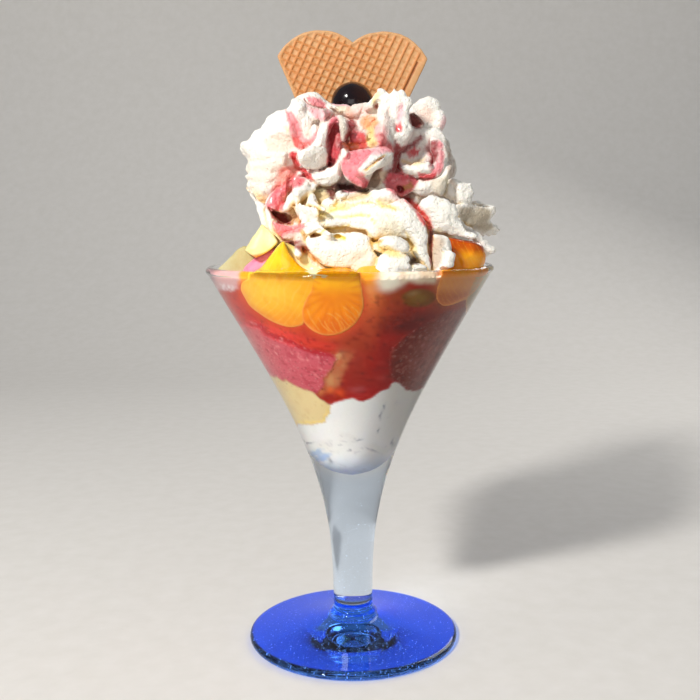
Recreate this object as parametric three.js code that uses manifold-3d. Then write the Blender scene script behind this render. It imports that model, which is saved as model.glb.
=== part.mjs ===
// Ice cream sundae in a stemmed glass: conical bowl, coloured foot, layered
// ice cream with sauce and fruit, a mound of whipped cream, a heart wafer and
// a cherry. Millimetres, +Z up, origin at the centre of the foot's flat
// underside, front of the sundae towards -Y.
import * as THREE from 'three';
import { mergeVertices } from 'three/addons/utils/BufferGeometryUtils.js';
import Module from 'manifold-3d';

// ---------------------------------------------------------------- sizes
const GAP = 0.3;              // clear space between neighbouring pieces
const H_GLASS = 170;          // foot to lip
const R_RIM = 62.5;           // outer radius of the rim bead
const RIM_BEAD = 1.7;         // radius of the bead's section
const WALL = 2.8;             // bowl wall, measured level
const Z_WELL = 79.5;          // deepest point of the bowl's inside
const R_FOOT = 47.4;          // radius of the foot
const Z_STEM = 17.5;          // underside of the clear stem, on the foot's collar
const SEG = 30;               // segments round the glass
const SEG_IN = 15;            // segments round the contents
const FLARE = 0.506;          // angle of the bowl's wall from the vertical, rad
const LEVEL = 165;            // height of the sauce and juice in the bowl
const HEART_W = 66, HEART_H = 77, WAFER_T = 3.0, WAFER_BORDER = 2.4, WAFER_STEP = 0.35;
const WAFER_Y = 14, WAFER_TIP_Z = 194, WAFER_LEAN = -0.03;
const CHERRY_R = 9.1, CHERRY_AT = [1.9, 3.0, 239.3];

// ---------------------------------------------------------------- helpers
const wasm = await Module();
wasm.setup();

// a closed three.js geometry as a solid, turned face out
function solid(geometry) {
  const g = geometry.clone();
  for (const name of Object.keys(g.attributes)) if (name !== 'position') g.deleteAttribute(name);
  const m = mergeVertices(g, 1e-4);
  const p = m.attributes.position.array, idx = m.index.array, tri = [];
  let vol = 0;
  const a = new THREE.Vector3(), b = new THREE.Vector3(), c = new THREE.Vector3();
  for (let i = 0; i < idx.length; i += 3) {
    const [u, v, w] = [idx[i], idx[i + 1], idx[i + 2]];
    if (u === v || v === w || u === w) continue;
    tri.push(u, v, w);
    a.fromArray(p, 3 * u); b.fromArray(p, 3 * v); c.fromArray(p, 3 * w);
    vol += a.dot(b.cross(c));
  }
  if (vol < 0) for (let i = 0; i < tri.length; i += 3) [tri[i + 1], tri[i + 2]] = [tri[i + 2], tri[i + 1]];
  return new wasm.Manifold(new wasm.Mesh({
    numProp: 3, vertProperties: new Float32Array(p), triVerts: new Uint32Array(tri) }));
}

const group = new THREE.Group();
function put(name, manifold, color, roughness, extra = {}) {
  const m = manifold.getMesh();
  const g = new THREE.BufferGeometry();
  g.setAttribute('position', new THREE.BufferAttribute(new Float32Array(m.vertProperties), 3));
  g.setIndex(new THREE.BufferAttribute(new Uint32Array(m.triVerts), 1));
  g.computeVertexNormals();
  const mesh = new THREE.Mesh(g, new THREE.MeshStandardMaterial({ color, roughness, metalness: 0, ...extra }));
  mesh.name = name;
  group.add(mesh);
}

const lathe = (profile, segments = SEG) =>
  new THREE.LatheGeometry(profile.map(([r, z]) => new THREE.Vector2(r, z)), segments).rotateX(Math.PI / 2);

const lerpTable = (table, z) => {
  if (z <= table[0][1]) return table[0][0];
  for (let i = 1; i < table.length; i++) {
    const [r0, z0] = table[i - 1], [r1, z1] = table[i];
    if (z <= z1) return r0 + (r1 - r0) * (z - z0) / (z1 - z0);
  }
  return table[table.length - 1][0];
};
const step = (t) => { const s = Math.min(1, Math.max(0, t)); return s * s * (3 - 2 * s); };
const bump = (x, y, cx, cy, w) => Math.exp(-((x - cx) ** 2 + (y - cy) ** 2) / (w * w));

// ---------------------------------------------------------------- glass
// outside of the clear stem and bowl, bottom to top: [radius, height]
const OUTER = [[8.7, Z_STEM], [8.96, 22], [9.5, 38], [10.5, 50], [12.2, 60], [14.4, 70],
  [17.4, 80], [21, 90], [25.2, 100], [30.9, 112], [37.8, 125], [61.0, 166.2]];
// inside of the bowl, well to rim
const INNER = [[0, Z_WELL], [4.5, 80.3], [8.6, 83.3], [11.6, 87.6], [14.5, 92.8], [20.0, 102], [26.0, 112],
  [34.4, 125], [43.3, 140], [61.0 - WALL, 166.2]];
const bead = [];
for (let i = 0; i <= 5; i++) {
  const t = -0.55 + (Math.PI + 0.75) * i / 5;
  bead.push([R_RIM - RIM_BEAD + RIM_BEAD * Math.cos(t), H_GLASS - RIM_BEAD + RIM_BEAD * Math.sin(t)]);
}
const bowlProfile = [[0, Z_STEM], ...OUTER, ...bead, ...[...INNER].reverse()];
put('glass_bowl', solid(lathe(bowlProfile)), 0xf2f6f8, 0.03, { transparent: true, opacity: 0.35 });

// blue foot: flat underside, rounded edge, gently domed top and a moulded collar
const footProfile = [[0, 0], [R_FOOT - 1.3, 0], [R_FOOT, 1.5], [R_FOOT - 0.6, 3],
  [R_FOOT - 2.4, 3.5], [30, 5.6], [15, 8.6], [11, 9.7], [10.7, 11.9], [8.8, 15], [9.0, 17.2], [0, 17.2]];
put('glass_foot', solid(lathe(footProfile)), 0x1433a8, 0.05, { transparent: true, opacity: 0.7 });

// ---------------------------------------------------------------- inside of the bowl
const innerRadius = (z) => lerpTable(INNER, z);
// the room that the contents may fill: the bowl's inside less a gap, open above the rim
const room = solid(lathe([[0, Z_WELL + GAP], ...INNER.slice(1).map(([r, z]) => [r - GAP, z + 0.15]),
  [58.4, 168.6], [59.0, 171.0], [66.5, 172.4], [76, 186], [76, 292], [0, 292]], SEG_IN));

// everything under the surface z = f(x, y)
function below(f, raise = 0, n = 6) {
  const g = new THREE.BoxGeometry(124, 124, 10, n, n, 1);
  const p = g.attributes.position;
  for (let i = 0; i < p.count; i++) p.setZ(i, p.getZ(i) > 0 ? f(p.getX(i), p.getY(i)) + raise : 60);
  return solid(g);
}
// everything left of the wall x = f(y, z)
function leftOf(f, shift = 0, n = 4) {
  const g = new THREE.BoxGeometry(10, 128, 110, 1, n, n);
  g.translate(0, 0, 130);
  const p = g.attributes.position;
  for (let i = 0; i < p.count; i++) p.setX(i, p.getX(i) > 0 ? f(p.getY(i), p.getZ(i)) + shift : -66);
  return solid(g);
}

const whiteTop = (x, y) => 104 + 13.3 * step((x + 14) / 10) + 4.5 * bump(x, y, 18, -29, 9) + 1.2 * Math.sin(0.21 * y + 0.1 * x);
const vanillaTop = (x, y) => 117 + 7 * step((-x - 11) / 17) + 1.5 * Math.sin(0.16 * y + 0.5);
const sauceTop = (x, y) => 156 + 5 * step((-x - 38) / 14) + 1.6 * Math.sin(0.09 * y + 0.07 * x);
const leftScoopTop = (x, y) => Math.min(sauceTop(x, y) - 2, 137 + 0.25 * Math.max(0, -x - 5) + 6 * bump(x, y, -22, 4, 22));
const rightScoopTop = (x, y) => Math.min(sauceTop(x, y) - 2, 143.5 + 11 * step((x - 11) / 34) + 4 * bump(x, y, 28, 4, 20));
const leftEdge = (y, z) => -9 + Math.min(4, Math.max(0, (z - 124) * 0.35)) + 2.5 * Math.sin(0.05 * (y + 43));
const rightEdge = (y, z) => 17.5 - 0.19 * Math.max(0, z - 126) - 9 * step((y + 30) / 26) + 5 * step((y - 10) / 25);

const half = GAP / 2;
const iceWhite = room.intersect(below(whiteTop, -half));
const aboveWhite = room.subtract(below(whiteTop, half));
const leftSide = aboveWhite.intersect(leftOf(leftEdge, -half));
const rightSide = aboveWhite.subtract(leftOf(rightEdge, half));
const iceVanilla = leftSide.intersect(below(vanillaTop, -half));
const iceLeft = leftSide.subtract(below(vanillaTop, half)).intersect(below(leftScoopTop, -half));
const iceRight = rightSide.intersect(below(rightScoopTop, -half));
// the sauce runs down between the scoops and lies over them, up to the level
const scoops = below(vanillaTop, half).add(below(leftScoopTop, half)).intersect(leftOf(leftEdge, half))
  .add(below(rightScoopTop, half).subtract(leftOf(rightEdge, -half)));

// ---------------------------------------------------------------- fruit
// A piece of fruit leaning on the bowl's wall: az is the angle round the bowl
// from the front, z the height on the wall, inset the depth of its middle,
// half its half sizes (along the wall level, up the wall, through), curl bends
// it like a crescent and square gives it flatter sides.
function fruit(o, grow = 0) {
  const [a, b, c] = o.half, g = new THREE.SphereGeometry(1, o.seg?.[0] ?? 8, o.seg?.[1] ?? 5);
  const p = g.attributes.position, e = 1 / (o.square ?? 1);
  const sq = (v) => Math.sign(v) * Math.abs(v) ** e;
  for (let i = 0; i < p.count; i++) {
    const x = sq(p.getX(i)), y = sq(p.getY(i)), z = sq(p.getZ(i));
    const wedge = 1 - (o.wedge ?? 0) * x;
    p.setXYZ(i, x * (a + grow) + (o.curl ?? 0) * (y * y - 0.4), y * (b + grow), z * (c * wedge + grow) + (o.hug ?? 0) * x * x);
  }
  const t = o.az * Math.PI / 180, out = new THREE.Vector3(Math.sin(t), -Math.cos(t), 0);
  const lean = o.lean ?? FLARE;
  const up = out.clone().multiplyScalar(Math.sin(lean)).add(new THREE.Vector3(0, 0, Math.cos(lean)));
  const along = new THREE.Vector3(Math.cos(t), Math.sin(t), 0);
  const inward = new THREE.Vector3().crossVectors(up, along);
  const m = new THREE.Matrix4().makeBasis(along, up, inward);
  g.rotateZ((o.turn ?? 0) * Math.PI / 180).applyMatrix4(m);
  const at = out.multiplyScalar((o.r ?? innerRadius(o.z)) - 0).add(new THREE.Vector3(0, 0, o.z)).addScaledVector(inward, o.inset);
  g.translate(at.x, at.y, at.z);
  return solid(g);
}
const FRUIT = [
  { name: 'mandarin_segment_front', az: -8, z: 157.5, inset: 6, half: [12.6, 16, 6.6], turn: 8, curl: 1.5, square: 1.2, seg: [10, 6], color: 0xfc9b12 },
  { name: 'peach_slice_front', az: -33, z: 162.5, inset: 6.5, half: [16.5, 18.8, 7], turn: -24, curl: -3, square: 1.3, seg: [10, 6], color: 0xfcc03e },
  { name: 'pear_crescent_front', az: -15, r: 47, z: 175.5, inset: 4, lean: 0.25, half: [4.6, 15, 6], turn: 66, curl: 4, color: 0xf4dfa0 },
  { name: 'apple_wedge_left', az: -44, r: 51, z: 183, inset: 4, lean: 0.2, half: [8.6, 8.2, 6], turn: -18, curl: -2, square: 1.2, color: 0xf3e7b0 },
  { name: 'pear_slice_left', az: -63, r: 54, z: 170.5, inset: 3.6, lean: 0.42, half: [9, 9.5, 4.6], turn: -30, square: 1.3, color: 0xe1d8ae },
  { name: 'mandarin_segment_right', az: 52, r: 53, z: 168, inset: 5, lean: 0.35, half: [8.6, 16.5, 6], turn: 14, curl: -2.5, square: 1.2, color: 0xfa9a1e },
  { name: 'melon_slab_right', az: 72, z: 160, inset: 4.6, half: [7, 11, 4.2], turn: 6, square: 1.6, color: 0xdcd8a4 },
  { name: 'grape_right', az: 27, z: 160, inset: 7.2, half: [7.4, 6, 6], color: 0x8c8a3a },
  { name: 'peach_piece_front', az: 9, z: 165, inset: 5, half: [6, 4.2, 4.2], square: 1.5, color: 0xfcc03e },
  { name: 'mandarin_segment_back', az: 172, z: 158, inset: 6, half: [11.5, 15.5, 6.4], turn: 12, curl: 1.5, square: 1.2, color: 0xfc9b12 },
  { name: 'peach_slice_back', az: 141, z: 163, inset: 6.5, half: [14.5, 19.5, 7], turn: 18, curl: 3, square: 1.3, color: 0xfcc03e },
  { name: 'pear_slice_back', az: -152, z: 165.5, inset: 5, half: [10, 13, 4.8], turn: -20, square: 1.4, color: 0xe1d8ae },
  { name: 'grape_back', az: 112, z: 161, inset: 7, half: [7.2, 6, 6], color: 0x8c8a3a },
  { name: 'mandarin_segment_left', az: -112, z: 156, inset: 6, half: [9.5, 14, 6], turn: 20, curl: 2, square: 1.2, color: 0xfc9b12 },
];
const SCOOP = { name: 'ice_cream_pink_scoop', az: -62, r: 38, z: 166.5, inset: 0, lean: 0, half: [14, 11, 10], seg: [10, 6], color: 0xf59ab8 };

const fruits = [];
let taken = null, takenGrown = null;
for (const o of [...FRUIT, SCOOP]) {
  let s = fruit(o).intersect(room);
  if (o === SCOOP) s = s.subtract(below(sauceTop, half, 3));
  if (takenGrown) s = s.subtract(takenGrown);
  fruits.push([o, s]);
  const grown = fruit(o, GAP + 0.05);
  takenGrown = takenGrown ? takenGrown.add(grown) : grown;
}

// the sauce, thinned by juice and melted ice at the top, fills what is left
const sauce = aboveWhite.intersect(below(() => LEVEL, -half, 1)).subtract(scoops).subtract(takenGrown);
const largest = (m) => m.decompose().sort((p, q) => q.volume() - p.volume())[0];

// ---------------------------------------------------------------- whipped cream
// A ridged dollop from p to q: w and t are its half width and half thickness,
// n ridges of the given depth run along it with a little twist.
function dollop([px, py, pz, qx, qy, qz, w, t, n = 5, depth = 0.1], rows = 6) {
  const p = new THREE.Vector3(px, py, pz), q = new THREE.Vector3(qx, qy, qz);
  const axis = q.clone().sub(p), len = axis.length() / 2;
  axis.normalize();
  const side = new THREE.Vector3().crossVectors(axis, Math.abs(axis.z) > 0.8 ? new THREE.Vector3(0, 1, 0) : new THREE.Vector3(0, 0, 1)).normalize();
  const g = new THREE.SphereGeometry(1, 2 * n, rows), v = g.attributes.position;
  for (let i = 0; i < v.count; i++) {
    const r = Math.hypot(v.getX(i), v.getZ(i)), y = v.getY(i), th = Math.atan2(v.getZ(i), v.getX(i));
    const k = r * (1 + depth * Math.cos(n * th)), tw = th + 0.35 * y;
    v.setXYZ(i, k * w * Math.cos(tw), y * (len + 0.5 * t), k * t * Math.sin(tw));
  }
  const m = new THREE.Matrix4().makeBasis(side, axis, new THREE.Vector3().crossVectors(side, axis));
  g.applyMatrix4(m).translate((px + qx) / 2, (py + qy) / 2, (pz + qz) / 2);
  return solid(g);
}
// the front's named folds: [from, to, half width, half thickness, ridges, depth]
const FOLDS = [
  [-28, -9, 188, -29, -7, 226, 15, 14, 4, 0.12],     // big fan at the left
  [-24, -12, 219, -10, -7, 237, 13, 11, 4, 0.12],     // hump at the top left
  [0, -27, 227, -17, -36, 215, 6.5, 7.5, 4, 0.12],   // thumb at the middle
  [-4, -34, 211, 12, -40, 207, 9, 9, 4, 0.14],       // tongue under it
  [-26, -32, 190, -8, -36, 205, 7, 8, 4, 0.14],      // petal at the lower left
  [14, -20, 214, 17, -13, 237, 9, 10, 4, 0.14],      // tall folds at the top right
  [22, -10, 217, 35, -6, 233, 8, 9, 4, 0.12],        // ear at the right
  [18, -27, 213, 37, -17, 217, 7, 8, 4, 0.14],
  [16, -33, 202, 38, -18, 205, 8, 9, 4, 0.12],
  [34, 10, 202, 35, 6, 223, 9, 11, 4, 0.1],          // smooth lobe behind the right
  [38, -10, 190, 47, -9, 201, 9, 9, 4, 0.12],
  [25, -37, 192, 42, -27, 188, 8, 9, 4, 0.12],
  [40, -16, 186, 63, -11, 188, 7, 5, 3, 0.2],        // leaf tips at the right
  [38, -32, 187, 56, -22, 177, 4, 6, 4, 0.12],
  [21, -38, 196, 26, -50, 174, 7, 7, 4, 0.12],       // flap beside the trickle
  [35, -42, 184, 37, -45, 172, 5, 6, 4, 0.12],
  [-22, -36, 187, 24, -40, 194, 8, 8, 4, 0.12],      // skirt, upper fold
  [-18, -44, 180, 20, -45, 184, 8, 8, 4, 0.12],      // skirt, lower fold
  [-12, -47, 174, 8, -47, 176, 8.5, 8, 4, 0.1],      // bulges at the rim
  [9, -48, 173, 24, -46, 173, 7.5, 7, 4, 0.1],
];
let cream = dollop([0, 4, 182, 0, 4, 222, 29, 29, 6, 0.05]).add(dollop([-28, -2, 173, 44, -2, 175, 45, 19, 6, 0.04]));
for (const f of FOLDS) cream = cream.add(dollop(f, f[7] > 10 ? 6 : 4));
// the back and sides carry on in the same way: rings of upright ridged folds
const RINGS = [
  { n: 5, from: 86, to: 238, r: 41, z: 175, lift: 15, w: 14, t: 9 },
  { n: 4, from: 90, to: 252, r: 30, z: 197, lift: 18, w: 14, t: 11 },
  { n: 2, from: 110, to: 230, r: 15, z: 218, lift: 13, w: 12, t: 10 },
];
for (const ring of RINGS) {
  for (let i = 0; i < ring.n; i++) {
    const t = (ring.from + (ring.to - ring.from) * i / (ring.n - 1)) * Math.PI / 180;
    const s = Math.sin(2.4 * i + ring.z), r0 = ring.r + 2 * s, r1 = ring.r - 5 + 1.5 * s, turn = 0.35;
    cream = cream.add(dollop([r0 * Math.sin(t), -r0 * Math.cos(t), ring.z + s, r1 * Math.sin(t + turn), -r1 * Math.cos(t + turn),
      ring.z + ring.lift + 2 * s, ring.w + s, ring.t, 4, 0.13], 5));
  }
}

// ---------------------------------------------------------------- wafer and cherry
// heart with straight lower sides: each lobe runs from a corner at the top of
// the side to the notch
function heart(inset) {
  const w = HEART_W / 2 - inset, h = HEART_H - inset, s = new THREE.Shape();
  s.moveTo(0, 2.2 * inset);
  s.lineTo(w * 0.965, h * 0.815);
  s.lineTo(w, h * 0.856);
  s.bezierCurveTo(w * 0.86, h * 0.945, w * 0.66, h, w * 0.42, h);
  s.bezierCurveTo(w * 0.22, h, w * 0.08, h * 0.965, 0, h * 0.94 - 0.3 * inset);
  s.bezierCurveTo(-w * 0.08, h * 0.965, -w * 0.22, h, -w * 0.42, h);
  s.bezierCurveTo(-w * 0.66, h, -w * 0.86, h * 0.945, -w, h * 0.856);
  s.lineTo(-w * 0.965, h * 0.815);
  s.lineTo(0, 2.2 * inset);
  return s;
}
function waferSolid(grow) {
  const place = (g) => g.rotateX(Math.PI / 2).rotateY(-WAFER_LEAN).translate(0.2, WAFER_Y, WAFER_TIP_Z);
  const slab = (inset, t) => solid(place(new THREE.ExtrudeGeometry(heart(inset - grow), { depth: t, bevelEnabled: false, curveSegments: 5 }).translate(0, 0, -t / 2)));
  const plate = slab(0, WAFER_T - 2 * WAFER_STEP + 2 * grow);
  return grow ? slab(0, WAFER_T + 2 * grow) : plate.add(slab(WAFER_BORDER, WAFER_T));
}
const cherrySolid = (grow) => {
  const g = new THREE.SphereGeometry(CHERRY_R + grow, 14, 8).rotateX(Math.PI / 2);
  g.scale(1, 1, 0.96);
  return solid(g.translate(...CHERRY_AT));
};

cream = cream.intersect(room).subtract(below(() => LEVEL, half, 1)).subtract(takenGrown)
  .subtract(waferSolid(GAP)).subtract(cherrySolid(GAP));

// ---------------------------------------------------------------- the pieces
put('ice_cream_white', largest(iceWhite), 0xece4da, 0.6);
put('ice_cream_vanilla', largest(iceVanilla), 0xebce90, 0.6);
put('ice_cream_strawberry_left', largest(iceLeft.subtract(takenGrown)), 0xd66676, 0.55);
put('ice_cream_strawberry_right', largest(iceRight.subtract(takenGrown)), 0x97524d, 0.55);
put('strawberry_sauce', largest(sauce), 0xb01c1c, 0.2);
for (const [o, s] of fruits) put(o.name, largest(s), o.color, 0.35);
put('whipped_cream', largest(cream), 0xf8f3e8, 0.55);
put('wafer_heart', waferSolid(0), 0xe9b078, 0.8);
put('cherry', cherrySolid(0), 0x1c0a10, 0.12);

export default group;
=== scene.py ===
import math

import bpy
import numpy as np
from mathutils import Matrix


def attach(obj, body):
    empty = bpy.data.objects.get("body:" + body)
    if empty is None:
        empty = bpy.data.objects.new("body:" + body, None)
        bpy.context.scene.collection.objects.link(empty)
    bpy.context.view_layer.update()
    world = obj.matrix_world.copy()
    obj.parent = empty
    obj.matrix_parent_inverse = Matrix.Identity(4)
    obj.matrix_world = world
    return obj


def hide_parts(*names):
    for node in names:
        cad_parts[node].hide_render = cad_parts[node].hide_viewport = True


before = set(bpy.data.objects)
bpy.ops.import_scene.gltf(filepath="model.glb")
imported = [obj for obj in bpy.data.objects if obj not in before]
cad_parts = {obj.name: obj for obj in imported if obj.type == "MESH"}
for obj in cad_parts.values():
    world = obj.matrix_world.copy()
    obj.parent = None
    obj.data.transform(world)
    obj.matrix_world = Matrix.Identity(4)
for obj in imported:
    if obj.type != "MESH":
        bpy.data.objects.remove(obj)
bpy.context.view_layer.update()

import openvdb as vdb
from mathutils import Matrix, Vector

# Everything below is worked out in millimetres and written to the meshes in metres.
MM = 0.001
F32 = np.float32

# ------------------------------------------------------------------ the view
# A pinhole camera in front of the sundae: focal length in pixels of a 700 px frame, tilt down, distance, height, roll.
FOC, TILT, CAM_D, CAM_Z, ROLL, SHIFT = 965.07, 0.13822, 423.72, 191.15, 0.010484, 0.481
CT, ST, CR, SR = math.cos(TILT), math.sin(TILT), math.cos(ROLL), math.sin(ROLL)


def proj(x, y, z):
    """Where a point shows in the frame, and how many pixels a millimetre takes there."""
    yy, zz = y + CAM_D, z - CAM_Z
    d = yy * CT - zz * ST
    w = yy * ST + zz * CT
    X, Y = FOC * x / d, -FOC * w / d
    return 350 + SHIFT + X * CR + Y * SR, 350 - X * SR + Y * CR, FOC / d


def at(u, v, y):
    """The point at depth y that shows at (u, v)."""
    a, b = u - 350 - SHIFT, v - 350
    X, Y = a * CR - b * SR, a * SR + b * CR
    t = (y + CAM_D) / (CT - ST * Y / FOC)
    return X / FOC * t, y, CAM_Z + (-ST - CT * Y / FOC) * t


# ------------------------------------------------------------------ sizes shared with the glass
Z_WELL, R_FOOT, H_GLASS, R_RIM, BEAD, LEVEL = 79.5, 47.4, 170.0, 62.5, 1.7, 165.0
OUTER = [(8.7, 17.5), (8.96, 22), (9.1, 30), (9.61, 40), (10.47, 50), (12.17, 60), (14.41, 70), (17.41, 80), (21.0, 90),
         (25.17, 100), (30.87, 112), (37.8, 125), (46.18, 140), (54.77, 155), (59.9, 164), (61.0, 166.2)]
INNER = [(0, 79.5), (2.4, 79.7), (4.5, 80.4), (6.6, 81.6), (8.6, 83.3), (10.2, 85.3), (11.6, 87.6), (12.9, 90), (14.5, 92.8),
         (17.2, 97.3), (20.0, 102), (22.9, 107), (26.0, 112), (30.1, 118.5), (34.4, 125), (37.4, 129.8), (43.3, 140), (51.8, 155), (57.0, 164), (58.2, 166.2)]
IZ = np.array([p[1] for p in INNER])
IR = np.array([p[0] for p in INNER])


def wall_r(z):
    """Inner radius of the bowl at height z."""
    return np.interp(z, IZ, IR)


def wall_sd(x, y, z, into):
    """Distance outside the bowl's inner wall moved outward by into, negative inside."""
    r = np.sqrt(x * x + y * y)
    zc = np.clip(z, 79.5, 172)
    R = wall_r(zc) + np.where(z > 166.2, (z - 166.2) * 0.56, 0)
    slope = 0.875
    side = (r - R) * slope - into
    return np.maximum(side, Z_WELL - into - z + 0 * side)


# ------------------------------------------------------------------ noise and blending
def fade(t):
    return t * t * (3 - 2 * t)


def step(a, b, x):
    t = np.clip((x - a) / (b - a), 0, 1)
    return t * t * (3 - 2 * t)


_tables = {}


def vnoise(P, wl, seed):
    """Smooth noise from -1 to 1 at points P (n, 3), with cells of wl mm."""
    if seed not in _tables:
        _tables[seed] = (np.random.default_rng(seed).random((32, 32, 32)) * 2 - 1).astype(F32)
    T = _tables[seed]
    q = P / wl + 5.37 * (seed % 97) + 400
    i = np.floor(q).astype(np.int64)
    f = fade((q - i).astype(F32))
    i0, i1 = i & 31, (i + 1) & 31
    x0, y0, z0 = i0.T
    x1, y1, z1 = i1.T
    fx, fy, fz = f.T
    a = T[x0, y0, z0] * (1 - fx) + T[x1, y0, z0] * fx
    b = T[x0, y1, z0] * (1 - fx) + T[x1, y1, z0] * fx
    c = T[x0, y0, z1] * (1 - fx) + T[x1, y0, z1] * fx
    d = T[x0, y1, z1] * (1 - fx) + T[x1, y1, z1] * fx
    return (a * (1 - fy) + b * fy) * (1 - fz) + (c * (1 - fy) + d * fy) * fz


def fbm(P, wl, seed, octaves=3, gain=0.5):
    out, amp, tot = 0, 1.0, 0.0
    for k in range(octaves):
        out = out + amp * vnoise(P, wl / 2 ** k, seed + k)
        tot += amp
        amp *= gain
    return out / tot


def noise2(u, v, wl, seed):
    P = np.stack([u.ravel(), v.ravel(), np.full(u.size, 3.3)], 1)
    return vnoise(P, wl, seed).reshape(u.shape)


def smin(a, b, k):
    if k <= 0:
        return np.minimum(a, b)
    h = np.maximum(k - np.abs(a - b), 0) / k
    return np.minimum(a, b) - h * h * (k * 0.25)


def smax(a, b, k):
    return -smin(-a, -b, k)


def catmull(P, n, closed):
    P = np.asarray(P, float)
    m = len(P)
    out = []
    for i in range(m if closed else m - 1):
        if closed:
            p0, p1, p2, p3 = P[(i - 1) % m], P[i], P[(i + 1) % m], P[(i + 2) % m]
        else:
            p0, p1, p2, p3 = P[max(i - 1, 0)], P[i], P[i + 1], P[min(i + 2, m - 1)]
        for t in np.arange(n) / n:
            out.append(0.5 * (2 * p1 + (p2 - p0) * t + (2 * p0 - 5 * p1 + 4 * p2 - p3) * t * t + (3 * p1 - p0 - 3 * p2 + p3) * t ** 3))
    if not closed:
        out.append(P[-1])
    return np.array(out)


def sd_poly(u, v, P):
    """Signed distance to a closed outline, negative inside."""
    best = np.full(u.shape, 1e9)
    inside = np.zeros(u.shape, bool)
    for (ax, ay), (bx, by) in zip(P, np.roll(P, -1, 0)):
        ex, ey = bx - ax, by - ay
        L = ex * ex + ey * ey
        if L < 1e-9:
            continue
        wx, wy = u - ax, v - ay
        t = np.clip((wx * ex + wy * ey) / L, 0, 1)
        best = np.minimum(best, (wx - ex * t) ** 2 + (wy - ey * t) ** 2)
        if ay != by:
            cross = ((ay <= v) & (by > v)) | ((by <= v) & (ay > v))
            inside ^= cross & (wx < ex * (v - ay) / ey)
    d = np.sqrt(best)
    return np.where(inside, -d, d)


class Field:
    """A block of space that shapes are joined and cut in, by signed distance."""

    def __init__(self, lo, hi, h):
        self.lo, self.h = np.array(lo, float), float(h)
        self.n = np.ceil((np.array(hi, float) - self.lo) / h).astype(int) + 1
        self.ax = [(self.lo[i] + h * np.arange(self.n[i])).astype(F32) for i in range(3)]
        self.S = np.full(self.n, 8, F32)
        self.wave = None

    def ripple(self, wl, seed):
        """Two smooth noises over the whole block, for walls that run back from a view to waver by."""
        rng = np.random.default_rng(seed)
        self.wave = []
        for _ in range(2):
            m = np.ceil(self.n * self.h / wl).astype(int) + 4
            C = rng.uniform(-1, 1, m).astype(F32)
            for i in range(3):
                q = self.h * np.arange(self.n[i]) / wl + 1
                b = q.astype(int)
                f = q - b
                W = np.zeros((self.n[i], m[i]), F32)
                r = np.arange(self.n[i])
                W[r, b - 1] += (1 - f) ** 3 / 6
                W[r, b] += (3 * f ** 3 - 6 * f * f + 4) / 6
                W[r, b + 1] += (-3 * f ** 3 + 3 * f * f + 3 * f + 1) / 6
                W[r, b + 2] += f ** 3 / 6
                C = np.moveaxis(np.tensordot(W, C, (1, i)), 0, i)
            self.wave.append(np.ascontiguousarray(C * 1.8).astype(F32))

    def block(self, lo, hi):
        a = np.clip(np.floor((np.array(lo) - self.lo) / self.h).astype(int), 0, self.n)
        b = np.clip(np.ceil((np.array(hi) - self.lo) / self.h).astype(int) + 1, 0, self.n)
        sl = tuple(slice(i, j) for i, j in zip(a, b))
        return sl, (self.ax[0][sl[0]][:, None, None], self.ax[1][sl[1]][None, :, None], self.ax[2][sl[2]][None, None, :])

    def all(self):
        return (self.ax[0][:, None, None], self.ax[1][None, :, None], self.ax[2][None, None, :])

    def add(self, sl, d, k=0.6):
        self.S[sl] = smin(self.S[sl], d.astype(F32), k)

    def cut(self, sl, d, k=0.3):
        self.S[sl] = smax(self.S[sl], -d.astype(F32), k)

    def sample(self, P):
        q = (P - self.lo) / self.h
        q = np.clip(q, 0, self.n - 1.001)
        i = q.astype(int)
        f = (q - i).astype(F32)
        x, y, z = i.T
        fx, fy, fz = f.T
        S = self.S
        a = S[x, y, z] * (1 - fx) + S[x + 1, y, z] * fx
        b = S[x, y + 1, z] * (1 - fx) + S[x + 1, y + 1, z] * fx
        c = S[x, y, z + 1] * (1 - fx) + S[x + 1, y, z + 1] * fx
        d = S[x, y + 1, z + 1] * (1 - fx) + S[x + 1, y + 1, z + 1] * fx
        return (a * (1 - fy) + b * fy) * (1 - fz) + (c * (1 - fy) + d * fy) * fz

    def mesh(self):
        g = vdb.FloatGrid(4.0)
        g.copyFromArray(np.pad(self.S, 1, constant_values=4.0))
        pts, quads = g.convertToQuads(isovalue=0.0)
        V = pts.astype(float) * self.h + (self.lo - self.h)
        Q = quads.astype(np.int64)
        c = V.mean(0)
        A, B, C, D = (V[Q[:, i]] - c for i in range(4))
        vol = np.einsum("ij,ij->i", A, np.cross(B, C)).sum() + np.einsum("ij,ij->i", A, np.cross(C, D)).sum()
        if vol < 0:
            Q = Q[:, ::-1]
        # keep the one largest connected piece
        lab = np.arange(len(V))
        while True:
            m = lab[Q].min(1)
            new = lab.copy()
            for j in range(4):
                np.minimum.at(new, Q[:, j], m)
            new = new[new]
            if (new == lab).all():
                break
            lab = new
        ids, count = np.unique(lab[Q[:, 0]], return_counts=True)
        keep = lab[Q[:, 0]] == ids[count.argmax()]
        Q = Q[keep]
        used = np.unique(Q)
        back = np.full(len(V), -1)
        back[used] = np.arange(len(used))
        return V[used], back[Q]


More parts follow.
